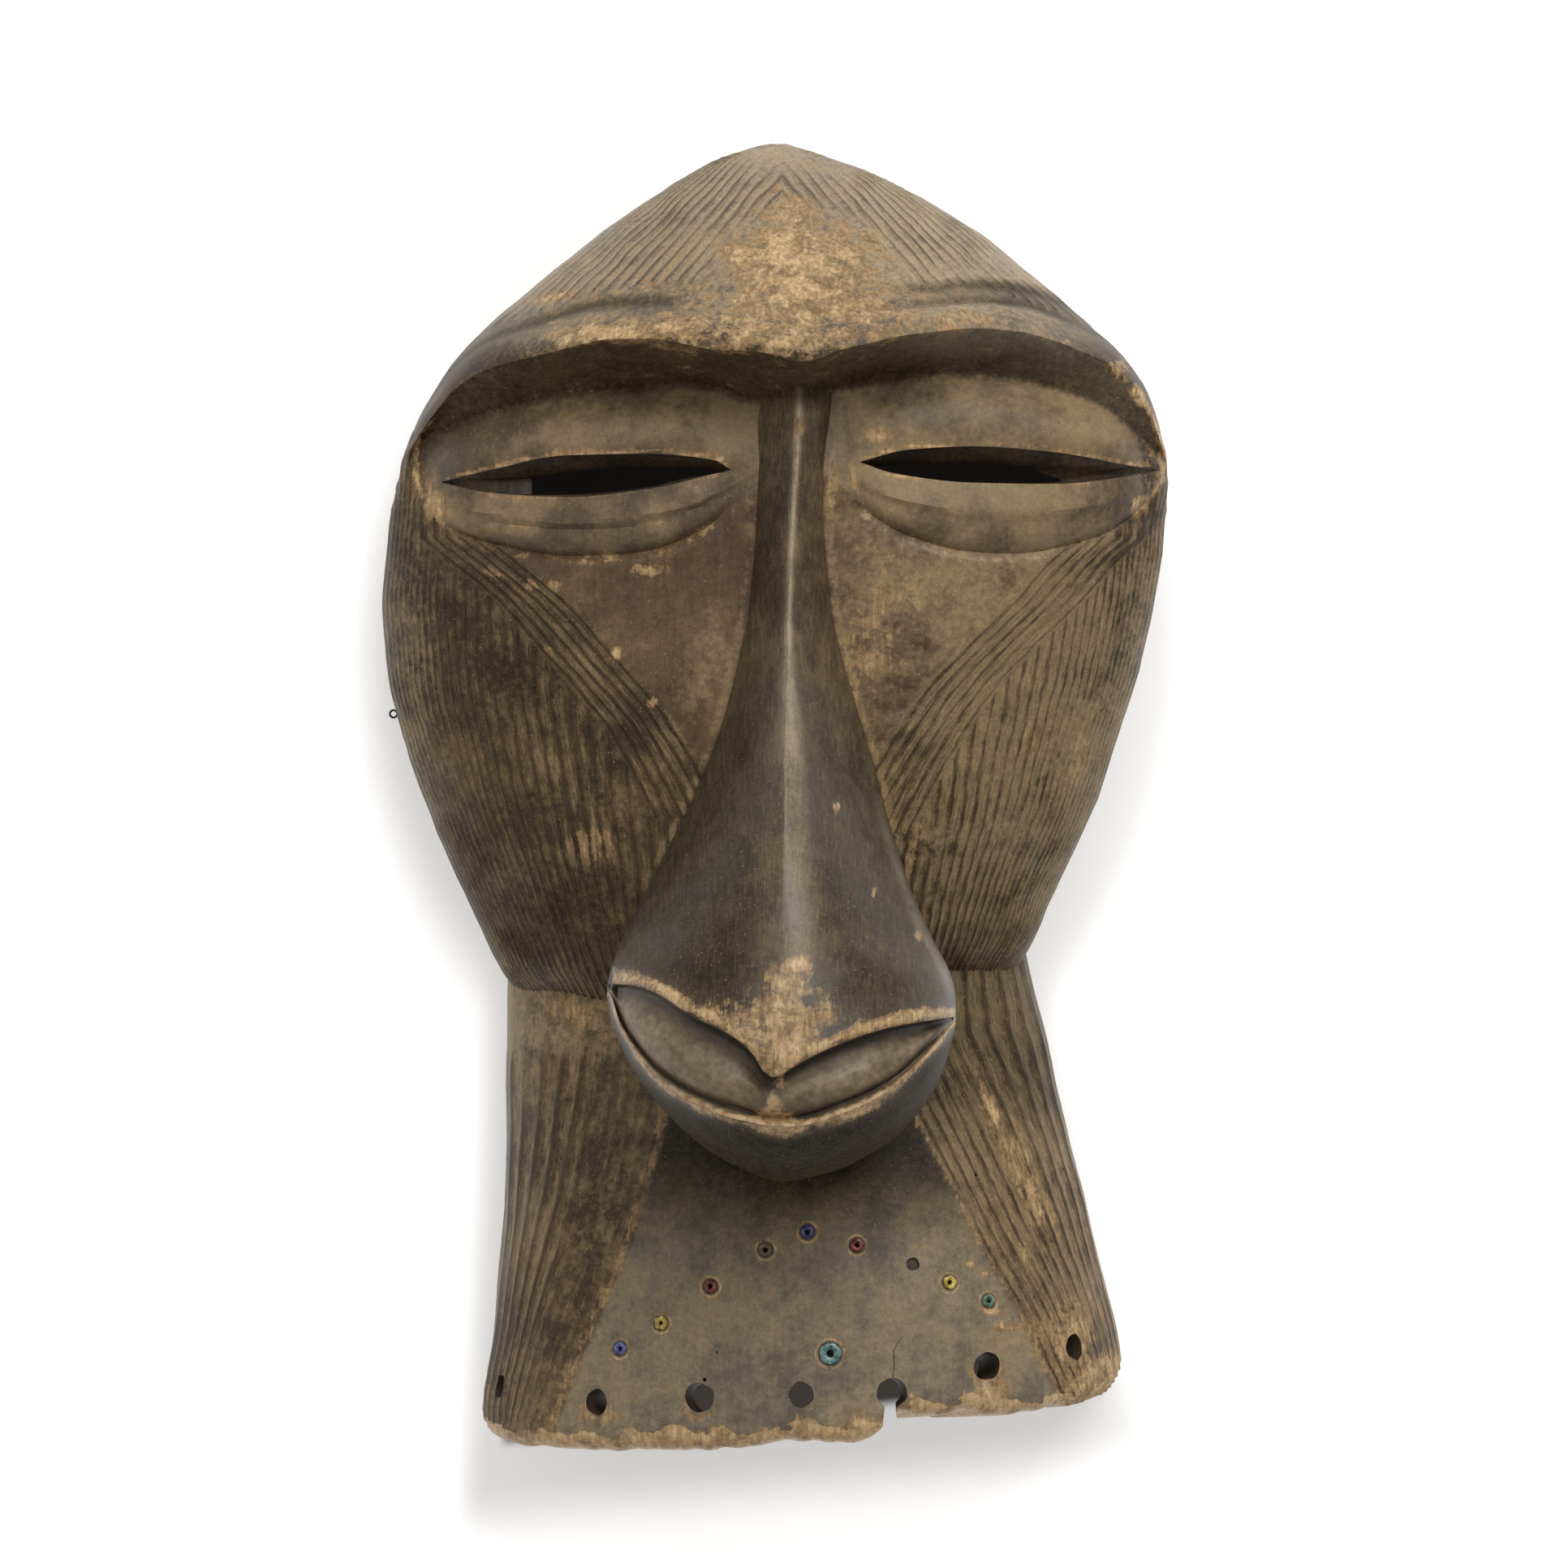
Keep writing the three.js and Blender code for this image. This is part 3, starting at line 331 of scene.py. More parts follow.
class Curve:
    """A smooth curve through rows of (at, value, ...), without overshoot and held flat beyond its ends."""

    def __init__(self, rows, column=1):
        self.x, self.y = np.array(sorted((row[0], row[column]) for row in rows), float).T
        slopes = np.diff(self.y) / np.diff(self.x)
        before, after = slopes[:-1], slopes[1:]
        steady = before * after > 0
        middle = np.where(steady, 2 * before * after / np.where(steady, before + after, 1), 0)
        self.tangents = np.concatenate([slopes[:1], middle, slopes[-1:]])

    def __call__(self, at):
        at = np.clip(at, self.x[0], self.x[-1])
        i = np.clip(np.searchsorted(self.x, at) - 1, 0, len(self.x) - 2)
        width = self.x[i + 1] - self.x[i]
        t = (at - self.x[i]) / width
        start = self.y[i] * (1 + 2 * t) * (1 - t) ** 2 + self.tangents[i] * width * t * (1 - t) ** 2
        end = self.y[i + 1] * t * t * (3 - 2 * t) - self.tangents[i + 1] * width * t * t * (1 - t)
        return start + end


def curves(rows):
    return [Curve(rows, column) for column in range(1, len(rows[0]))]


def fade(value, start, end):
    """0 before start and 1 after end, with a smooth step between."""
    t = np.clip((value - start) / (end - start), 0, 1)
    return t * t * (3 - 2 * t)


def bump(distance, width):
    return np.exp(-((distance / width) ** 2))


def strongest(*layers):
    return functools.reduce(np.maximum, layers)


def ripple(u, v, size, seed):
    """Smooth, repeatable unevenness about size across, mostly between -1 and 1."""
    turns = np.random.RandomState(seed).uniform(0, 2 * math.pi, (7, 2))
    total = 0
    for number, (direction, start) in enumerate(turns):
        pace = (0.6 + 0.2 * number) * 2 * math.pi / size
        total = total + np.sin(pace * (u * math.cos(direction) + v * math.sin(direction)) + start)
    return total / 3


def seen(u, v, z, wall=0):
    """The point that is seen at u, v and lies z above the rim plane."""
    scale = (EYE_HEIGHT - np.maximum(z, wall)) / (EYE_HEIGHT - DRAWN_HEIGHT)
    return np.stack(np.broadcast_arrays(u * scale, v * scale, z), -1)


HEAD_LEFT, HEAD_RIGHT = curves(HEAD_OUTLINE)
FOREHEAD, CHEEK, WALL, TILT = (Curve(rows) for rows in (FOREHEAD_HEIGHT, CHEEK_HEIGHT, WALL_HEIGHT, JAW_TILT))
BROW, LID, CREASE, SLIT = (Curve(rows) for rows in (BROW_EDGE, LID_TOP, LID_CREASE, SLIT_LINE))
FOLD, BAND_TOP = Curve(BROW_FOLD), Curve(BROW_BAND)
LIDS = [(Curve(eye["upper"]), Curve(eye["lower"])) for eye in EYES]
MUZZLE_CURVES = curves(MUZZLE)
LIPS = (Curve(UPPER_LIP), Curve(LOWER_LIP))
NECK_LEFT, NECK_RIGHT, NECK_HEIGHT = curves(NECK)
EDGE = Curve(LOWER_EDGE)
BAND_LEFT, BAND_RIGHT = curves(BAND_EDGE)
PANEL_LEFT, PANEL_RIGHT = curves(PANEL)


def superellipse(angle, fullness):
    """How far across, from -1 to 1, and how high, from 0 to 1, an arch is at each angle."""
    across = np.sign(np.cos(angle)) * np.abs(np.cos(angle)) ** (2 / fullness)
    return across, np.abs(np.sin(angle)) ** (2 / fullness)


def arch(left, right, wall, top, fullness, turns):
    """Up one wall, over the face and down the other: u, z, share of the height and depth down the wall."""
    middle, half = (left + right) / 2, (right - left) / 2
    across, share = superellipse(math.pi * (1 - np.clip(turns, 0, 1)), fullness)
    down = np.maximum(-turns, turns - 1).clip(0)
    z = np.where(down > 0, wall - (wall + WALL_DROP) * down, wall + (top - wall) * share)
    tuck = np.where(down > 0, WALL_TUCK * (1 - np.clip(z / wall, 0, 1)) ** 2, 0)
    half = np.maximum(half - tuck, half * 0.5)
    return middle + half * across, z, np.where(down > 0, 0, share), np.where(down > 0, wall - z, 0)


def turn_row(steps):
    """Turns from -1, the foot of the left wall, over 0 to 1, to 2, the foot of the right wall."""
    wall = np.linspace(-1, 0, WALL_STEPS, endpoint=False)
    return np.concatenate([wall, np.linspace(0, 1, steps + 1), 1 - wall[::-1]])


# The face in relief
def brow_share(u, v):
    top, bottom = BROW(u), LID(u)
    return np.clip((v - bottom) / np.maximum(top - bottom, 1.5), 0, 1) ** 1.5


def on_side(u, side):
    """Whether a place is on one eye's side of the nose: the left eye's for side 0, the right eye's for 1."""
    return (u < NOSE_ROOT) if side == 0 else (u >= NOSE_ROOT)


def face_relief(u, v):
    """Lids, sockets and the fold along the brow: how far the face stands above its plain arch."""
    relief = 2.2 * bump(v - BROW(u) - 4, 4.5)
    for side, (upper, lower) in enumerate(LIDS):
        start, end = upper.x[[0, -1]]
        in_eye = on_side(u, side) * np.clip((u - start + 4) / 14, 0, 1) * np.clip((end + 4 - u) / 14, 0, 1)
        across = np.clip((LID(u) - v) / np.maximum(LID(u) - upper(u), 1), 0, 1)
        above = 3.4 * np.sin(math.pi * across) - 1.2 * (1 - across) * np.clip(5 * across, 0, 1) + 1.4 * across
        under = np.clip((lower(u) - v) / np.maximum(lower(u) - CREASE(u), 1), 0, 1)
        below = 1.8 * np.sin(math.pi * under) + 0.55 * bump(under - 0.44, 0.07)
        below = below - 0.75 * bump(under - 0.56, 0.09)
        relief = relief + in_eye * np.where(v >= SLIT(u), above, below)
        relief = relief - in_eye * 1.4 * bump(v - CREASE(u), 1.3)
    relief = relief - 4 * bump(u + 96, 6) * bump(v - 84, 8)
    relief = relief - 3.5 * bump(u - 97, 5) * bump(v - 87, 8)
    fold = v - BROW(u) - FOLD(u)
    second = 1.2 * bump(fold - 4.0, 1.2) * fade(u, *SECOND_FOLD)
    right_fold = 0.5 * bump(fold - 1.8, 0.8) - 1.1 * bump(fold, 0.9) - second
    left_fold = 0.4 * bump(fold - 2.6, 1.0) - 1.3 * bump(fold, 1.4)
    return relief + fade(u, 10, 40) * right_fold + fade(-u, 18, 40) * left_fold


def head_height(u, v, share):
    wall = WALL(v)
    lift = TILT(u) * np.clip((-20 - v) / 20, 0, 1)
    low, high = CHEEK(v - lift), FOREHEAD(v)
    top = np.where(v > EYE_LEVEL, low + (high - low) * brow_share(u, v), low)
    return wall + (top - wall) * share + face_relief(u, v) * np.minimum(1, share * 2.5)


def muzzle_height(u, v):
    left, ridge, right, top, side, _, fullness = (curve(v) for curve in MUZZLE_CURVES)
    across = np.clip(np.abs(u - ridge) / np.where(u < ridge, ridge - left, right - ridge), 0, 1)
    return side + (top - side) * (1 - across**fullness) ** (1 / fullness)


# Carved lines: their phase in cycles and their share of the full depth
def head_lines(u, v, down):
    """Lines of the forehead and outer cheeks, which follow the outline of the head."""
    width = np.where(u < CENTRE_LINE, CENTRE_LINE - HEAD_LEFT(v), HEAD_RIGHT(v) - CENTRE_LINE)
    across = np.clip(np.abs(u - CENTRE_LINE) / np.maximum(width, 1), 0, 1)
    spread = across * (1 + (EDGE_SPREAD - 1) * across**7)
    cheek = width * spread + EDGE_SPREAD * (HALF_WIDTH - width) * across**2.5
    rise = v - 135
    forehead = 1.43 * np.abs(u - CENTRE_LINE) + (1.19 + 0.55 * across**3) * rise + 12 * across**9 + 63.5
    above = fade(v, 70, 104)
    phase = (cheek + (forehead - cheek) * above + down) / LINE_PITCH
    in_socket = (v < BROW(u) + BAND_TOP(u)) & (v > CREASE(u) - 1.5) & (u > -99.5) & (u < 102.3)
    worn = fade(1.25 - np.hypot((u - 6) / 27, (v - 130) / 24), 0, 0.55) * fade(v, 108, 118)
    crown = bump(np.hypot(u / 12, (v - 172) / 9), 1)
    share = np.where(in_socket, 0, 1) * (1 - 0.97 * worn) * (1 - 0.9 * crown) * (1 - 0.5 * across**8)
    return phase, share * np.clip(0.9 + 0.3 * ripple(u, v, 30, 8), 0.35, 1)


def band_lines(u, v):
    """The diagonal bands that cross the cheeks: phase, share, and the smooth ground inside them."""
    outward = np.where(u < 0, BAND_LEFT(v) - u, u - BAND_RIGHT(v))
    cheek = (v < CREASE(u) - 0.8) & (v > np.where(u < 0, -10, -14))
    beyond = fade(outward, -0.4, 0.4)
    inside = beyond * fade(BAND_WIDTH - outward, -0.4, 0.4)
    ground = (1 - beyond) * (v < CREASE(u) + 4) * fade(v, -14, -8)
    return outward / BAND_PITCH, np.where(cheek, inside, 0), ground


def neck_lines(u, v, down):
    panel = np.where(u < 0, -PANEL_LEFT(v), PANEL_RIGHT(v))
    edge = np.where(u < 0, -NECK_LEFT(v), NECK_RIGHT(v))
    outward = np.abs(u) - panel
    inward = np.clip(edge - np.abs(u), 0, None)
    mix = np.clip(outward / np.maximum(edge - panel, 1), 0, 1) ** 2
    from_edge = 36 - (inward + 5 * (1 - np.exp(-inward / 5)))
    phase = (outward * (1 - mix) + from_edge * mix + down) / NECK_PITCH
    full = np.where(u < 0, 0.4, 0.9)
    share = fade(outward, 0, 1.5) * fade(v, -176, -170) * (full + (1 - full) * fade(mix, 0.1, 0.5))
    collar = fade(v, *COLLAR) * (u < 0)
    return phase, share * (1 - 0.75 * collar)


def profile(phase):
    """A carved line: a broad ridge between narrower cuts, from 0 on the ridge to 1 in the cut."""
    return (0.5 - 0.5 * np.cos(2 * math.pi * phase)) ** CUT_SHARPNESS


# Meshes and the way they are joined
def add(name, data):
    made = bpy.data.objects.new(name, data)
    bpy.context.scene.collection.objects.link(made)
    return made


def body_of(name, points, faces, material):
    mesh = bpy.data.meshes.new(name)
    mesh.from_pydata(points, [], faces)
    mesh.materials.append(material)
    return add(name, mesh)


def loft(name, rows, material, **values):
    """A closed body over rows of points, with a fan at each end, and a value at each point by name."""
    rows = np.asarray(rows, float)
    number, count, _ = rows.shape
    index = np.arange(number * count).reshape(number, count)
    after = np.roll(index, -1, axis=1)
    sides = np.stack([index[:-1], after[:-1], after[1:], index[1:]], -1).reshape(-1, 4)
    points = np.concatenate([rows.reshape(-1, 3), rows[[0, -1]].mean(axis=1)])
    first = np.stack([np.full(count, number * count), after[0], index[0]], -1)
    last = np.stack([np.full(count, number * count + 1), index[-1], after[-1]], -1)
    halves = np.concatenate([sides[:, [0, 1, 2]], sides[:, [0, 2, 3]], first, last])
    a, b, c = (points[halves[:, k]] for k in range(3))
    faces = sides.tolist() + first.tolist() + last.tolist()
    if np.einsum("ij,ij->i", a, np.cross(b, c)).sum() < 0:
        faces = [face[::-1] for face in faces]
    body = body_of(name, points.tolist(), faces, material)
    corners = np.empty(len(body.data.loops), np.int32)
    body.data.loops.foreach_get("vertex_index", corners)
    for key, grid in values.items():
        grid = np.broadcast_to(grid, rows.shape[:2])
        flat = np.concatenate([grid.reshape(-1), grid[[0, -1]].mean(axis=1)]).astype(np.float32)
        body.data.attributes.new(key, "FLOAT", "CORNER").data.foreach_set("value", flat[corners])
    return body


def combine(body, tool, operation="DIFFERENCE"):
    """Cuts tool from body, or joins it to body, and keeps each face's own material."""
    change = body.modifiers.new("combine", "BOOLEAN")
    change.operation = operation
    change.solver = "MANIFOLD"
    change.material_mode = "TRANSFER"
    change.object = tool
    made = bpy.data.meshes.new_from_object(body.evaluated_get(bpy.context.evaluated_depsgraph_get()))
    body.modifiers.clear()
    body.data = made
    bpy.data.objects.remove(tool)


def outward_normals(grid):
    normals = np.cross(np.gradient(grid, axis=1), np.gradient(grid, axis=0))
    return normals / np.maximum(np.linalg.norm(normals, axis=-1, keepdims=True), 1e-9)


def head_rows():
    """The lines that the head's rows follow, each with the number of rows that lead to it."""

    def level(v):
        return lambda u: v + 0 * u

    crown = [(171.8, 1), (171.1, 1), (169.8, 2), (166.8, 3), (161, 5), (146, 12)]
    brow = [(BROW, 4), (LID, 11), (SLIT, 15), (CREASE, 15)]
    cheek = [(52, 12), (-30, 78), (-56, 20), (-68, 6)]
    return [
        *((level(v), count) for v, count in crown),
        (lambda u: BROW(u) + FOLD(u) + 6, 12),
        (lambda u: BROW(u) + FOLD(u) - 2, 16),
        (lambda u: BROW(u) + 2.5, 5),
        *brow,
        *((level(v), count) for v, count in cheek),
    ]


def head_form(material):
    turns = turn_row(HEAD_TURNS)
    rows = []
    before = head_rows()[0][0]
    for line, count in head_rows():
        for number in range(1, count + 1):
            part = number / count
            v = before(0 * turns) * (1 - part) + line(0 * turns) * part
            for _ in range(7):
                wall = WALL(v)
                u, z, share, down = arch(HEAD_LEFT(v), HEAD_RIGHT(v), wall, wall + 1, HEAD_FULLNESS, turns)
                v = before(u) * (1 - part) + line(u) * part
            rows.append((u, v, np.where(share > 0, head_height(u, v, share), z), down))
        before = line
    u, v, z, down = (np.array(values) for values in zip(*rows))
    grid = seen(u, v, z, np.where(down > 0, WALL(v), 0))
    wiggle = 0.1 * ripple(u, v, 26, 3) + 0.05 * ripple(u, v, 9, 4)
    phase, share = head_lines(u, v, down)
    band, in_band, ground = band_lines(u, v)
    lines_share = share * (1 - np.maximum(in_band, ground)) * fade(z, 3, 12)
    band_depth = in_band * np.where(u < 0, 1, 0.65)
    cut = lines_share * profile(phase + wiggle) + 0.85 * band_depth * profile(band + 0.6 * wiggle)
    uneven = 0.14 * ripple(u, v, 34, 5) + 0.05 * ripple(u, v, 12, 6)
    depth = LINE_DEPTH * cut * (0.85 + 0.25 * ripple(u, v, 15, 7)) + uneven * fade(z, 0, 10)
    grid = grid - outward_normals(grid) * depth[..., None]
    lines = {"line": phase + wiggle, "line_share": lines_share}
    bands = {"band": band + 0.6 * wiggle, "band_share": band_depth}
    streaks = {"comb": np.maximum(lines_share, in_band > 0), "streak": np.where(in_band > 0.5, band, phase)}
    return loft("head", grid, material, **lines, **bands, **streaks, **head_finish(u, v, z, ground))


def muzzle_form(material):
    v = np.concatenate([np.linspace(117, -50, 92), np.linspace(-51, -106.5, 52)])[:, None]
    left, ridge, right, _, side, back, fullness = (curve(v) for curve in MUZZLE_CURVES)
    front, _ = superellipse(math.pi * (1 - np.linspace(0, 1, MUZZLE_TURNS + 1)[None]), fullness)
    under, drop = superellipse(math.pi * np.arange(1, 6)[None] / 6, 4)
    across = np.concatenate([front, np.broadcast_to(under, (len(v), 5))], axis=1)
    u = ridge + across * np.where(across < 0, ridge - left, right - ridge)
    v = np.broadcast_to(v, u.shape)
    edge = v - LIPS[0](u)
    roll = 0.9 * bump(edge - 2.5, 2.6) - 1.3 * bump(edge - 10, 5) * fade(np.abs(u + 1), 10, 24)
    roll = roll * fade(edge, -1, 0) * fade(47 - np.abs(u), 0, 6)
    z = muzzle_height(u, v) + roll + 0.15 * ripple(u, v, 22, 11) + 0.06 * ripple(u, v, 8, 12)
    z = np.concatenate([z[:, : MUZZLE_TURNS + 1], side - (side - back) * drop], axis=1)
    return loft("muzzle", seen(u, v, z), material, **muzzle_finish(u, v, z))


def neck_form(material):
    turns = turn_row(NECK_TURNS)
    start = NECK[0][0]
    shares = np.concatenate([np.linspace(0, 0.93, 62), np.linspace(0.935, 1, 18)])[:, None]

    def neck_arch(v, inset):
        left, right = NECK_LEFT(v) + inset, NECK_RIGHT(v) - inset
        return arch(left, right, NECK_WALL_HEIGHT, NECK_HEIGHT(v) - inset, NECK_FULLNESS, turns[None])

    u, _, _, _ = neck_arch(start + shares * (-175 - start), 0)
    v = start + shares * (EDGE(u) + 0.35 * ripple(u, 0 * u, 11, 25) - start)
    past = np.clip((RIM_ROUND + 1 - (1 - shares) * 140) / (RIM_ROUND + 1), 0, 1)
    inset = RIM_ROUND * (1 - np.sqrt(1 - past * past))
    u, z, _, down = neck_arch(v, inset)
    grid = seen(u, v, z, NECK_WALL_HEIGHT)
    wiggle = 0.06 * ripple(u, v * 0.3, 24, 21) + 0.02 * ripple(u, v, 7, 26)
    phase, share = neck_lines(u, v, down)
    phase = phase + wiggle
    share = share * fade(z, 2, 8) * np.clip(0.85 + 0.3 * ripple(u, v * 0.25, 14, 22), 0.1, 1)
    uneven = 0.2 * ripple(u, v, 30, 23) + 0.25 * fade(-v, 150, 175) * ripple(u, v, 9, 24)
    for bead_u, bead_v, radius in bead_places():
        uneven = uneven - 0.3 * bump(np.hypot(u - bead_u, v - bead_v) - radius - 0.7, 0.6)
    depth = LINE_DEPTH * share * profile(phase) + uneven * fade(z, 0, 10) * (1 - past)
    grid = grid - outward_normals(grid) * depth[..., None]
    lines = {"line": phase, "line_share": share, "comb": np.clip(1.6 * share, 0, 1), "streak": phase}
    return loft("neck", grid, material, **lines, **neck_finish(u, v, past))


def hollow_form(stations, wall, floor, steps, material):
    rows = np.array(stations, float)
    ends = np.linspace(rows[0, 0], rows[-1, 0], 60)
    v, left, right, top = (np.interp(-ends, -rows[:, 0], rows[:, k])[:, None] for k in range(4))
    across, share = superellipse(math.pi * (1 - np.linspace(0, 1, steps + 1)[None]), HOLLOW_FULLNESS)
    middle, half = (left + right) / 2, (right - left) / 2
    u = middle + half * np.concatenate([[[-1]], across, [[1]]], axis=1)
    z = wall + (top - wall) * share
    z = z - 0.5 * share * np.abs(ripple(u[:, 1:-1], v * 0.8, 13, 31))
    foot = np.full((len(ends), 1), float(floor))
    z = np.concatenate([foot, z, foot], axis=1)
    return loft("hollow", seen(u, np.broadcast_to(v, u.shape), z, wall), material)


def mouth_form(material):
    steps = 60
    u = MOUTH_LEFT + MOUTH_WIDTH * (0.5 - 0.5 * np.cos(math.pi * np.arange(steps + 1) / steps))[:, None]
    upper, lower = LIPS[0](u), LIPS[1](u)
    gap = np.maximum(upper - lower, 0.6)
    depth = MOUTH_DEPTH * np.minimum(1, gap / 9)
    share = np.linspace(0, 1, 41)[None]
    v = upper - gap * share
    lift = np.where((share == 0) | (share == 1), 0.05, 0)
    z = muzzle_height(u, v) - depth * Curve(LIP_PROFILE)(share) + lift
    z = z + 0.12 * ripple(u, v, 16, 41) * np.sin(math.pi * share)
    top = np.full_like(u, 200.0)
    u = np.broadcast_to(u, (len(u), share.shape[1] + 2))
    v = np.concatenate([upper, v, upper - gap], axis=1)
    z = np.concatenate([top, z, top], axis=1)
    share = np.concatenate([[[0.0]], share, [[1.0]]], axis=1)
    above_rim = (1 - share) * gap
    rims = 0.85 * bump(above_rim, 1.5) + 0.6 * bump(np.hypot((u + 1) / 7, (v + 89) / 3), 1)
    rims = rims + 0.5 * bump(u + 3 - 0.3 * (v + 85), 1.6)
    worn = rims + 0.3 * bump(np.hypot((u - 1) / 24, (v + 83) / 7), 1)
    # Painted shadow under the upper lip, wider on the left, and the groove inside the lower rim darkened
    below_lip = np.maximum(share * gap - 1.2, 0)
    dark = np.maximum(bump(below_lip, np.where(u < -3, 2.8, 1.9)), 0.9 * bump(above_rim - 2.8, 1.1))
    return loft("mouth", seen(u, v, z), material, worn=worn, dark=dark)


def eye_form(eye, material):
    """Eye slit: a tapering groove as wide as the lids, with an opening through its deeper part."""

    def loop(above, below):
        u = np.linspace(above[0][0], above[-1][0], 41)
        u_back = np.linspace(below[0][0], below[-1][0], 41)
        edges = Curve(above)(u), Curve(below)(u_back)[::-1]
        return np.concatenate([u, u_back[::-1]]), np.concatenate(edges)

    def surface(u, v):
        half = (HEAD_RIGHT(v) - HEAD_LEFT(v)) / 2
        across = np.abs(u - (HEAD_RIGHT(v) + HEAD_LEFT(v)) / 2) / half
        return head_height(u, v, (1 - across**HEAD_FULLNESS) ** (1 / HEAD_FULLNESS))

    outer, inner = loop(eye["upper"], eye["lower"]), loop(eye["open_upper"], eye["open_lower"])
    rows = [seen(*outer, np.full_like(outer[0], 130.0)), seen(*outer, surface(*outer) - 0.4)]
    for part in (0.25, 0.5, 0.75, 1):
        u, v = (outer[k] * (1 - part) + inner[k] * part for k in range(2))
        rows.append(seen(u, v, surface(u, v) - 0.4 - SLIT_DEPTH * part))
    rows.append(seen(*inner, np.full_like(inner[0], 40.0)))
    return loft("eye", rows, material)


def on_neck(u, v):
    """The point of the neck seen at u, v, and the way it faces."""

    def point(a, b):
        left, right = NECK_LEFT(b), NECK_RIGHT(b)
        across = min(abs(a - (left + right) / 2) / ((right - left) / 2), 0.999)
        rise = (1 - across**NECK_FULLNESS) ** (1 / NECK_FULLNESS)
        return Vector(seen(a, b, NECK_WALL_HEIGHT + (NECK_HEIGHT(b) - NECK_WALL_HEIGHT) * rise))

    centre = point(u, v)
    normal = (point(u + 0.5, v) - centre).cross(point(u, v + 0.5) - centre).normalized()
    return centre, normal


def upright(position, direction):
    """The placement that turns +Z to direction and the origin to position."""
    turn = Vector((0, 0, 1)).rotation_difference(direction).to_matrix().to_4x4()
    return Matrix.Translation(position) @ turn


def peg(name, place, radius, length, segments, material, uneven=0.0):
    """A closed cylinder about its placement's +Z, its side a little uneven where asked."""
    angle = np.linspace(0, 2 * math.pi, segments, endpoint=False)
    reach = radius * (1 + uneven * ripple(np.cos(angle) * 3, np.sin(angle) * 3, 5, int(radius * 100)))
    rows = []
    for z in (-length / 2, length / 2):
        ring = np.stack([reach * np.cos(angle), reach * np.sin(angle), np.full(segments, z)], -1)
        rows.append([place @ Vector(point) for point in ring])
    return loft(name, rows, material)


def lathe(name, place, outline, segments, material, uneven=0.0):
    """A ring-shaped body turned about its placement's +Z from a closed outline of radius and height."""
    count = len(outline)
    points, faces = [], []
    for i, angle in enumerate(np.linspace(0, 2 * math.pi, segments, endpoint=False)):
        reach = 1 + uneven * math.sin(3 * angle + 1) * math.cos(2 * angle)
        shift = ((i + 1) % segments - i) * count
        for j, (r, z) in enumerate(outline):
            point = Vector((r * reach * math.cos(angle), r * reach * math.sin(angle), z))
            points.append(tuple(place @ point))
            a, b = i * count + j, i * count + (j + 1) % count
            faces.append((a, a + shift, b + shift, b))
    return body_of(name, points, faces, material)


def bead_places():
    seeds = [(u, v, BEAD_RADIUS) for u, v in SEED_BEADS.values()]
    return [*seeds, (*BIG_BEAD, BIG_BEAD_RADIUS)]


# Where the wood is worn, dark, grey, pale, warm in tone, dusty, glossy or unmottled, with painted shade and
# highlights among them
def patches(u, v, places):
    """The strongest of several soft patches: u, v, half width, half height, turn in degrees, strength."""
    total = 0
    for at_u, at_v, wide, high, turn, strength in places:
        c, s = math.cos(math.radians(turn)), math.sin(math.radians(turn))
        a, b = (u - at_u) * c + (v - at_v) * s, (v - at_v) * c - (u - at_u) * s
        total = np.maximum(total, strength * bump(np.hypot(a / wide, b / high), 1))
    return total


def near(at, value, rows, width):
    """Nearness to a curve through rows of (at, value), and only between its ends."""
    low, high = min(rows)[0], max(rows)[0]
    return fade(at, low - 2, low + 2) * fade(high + 2 - at, 0, 4) * bump(value - Curve(rows)(at), width)


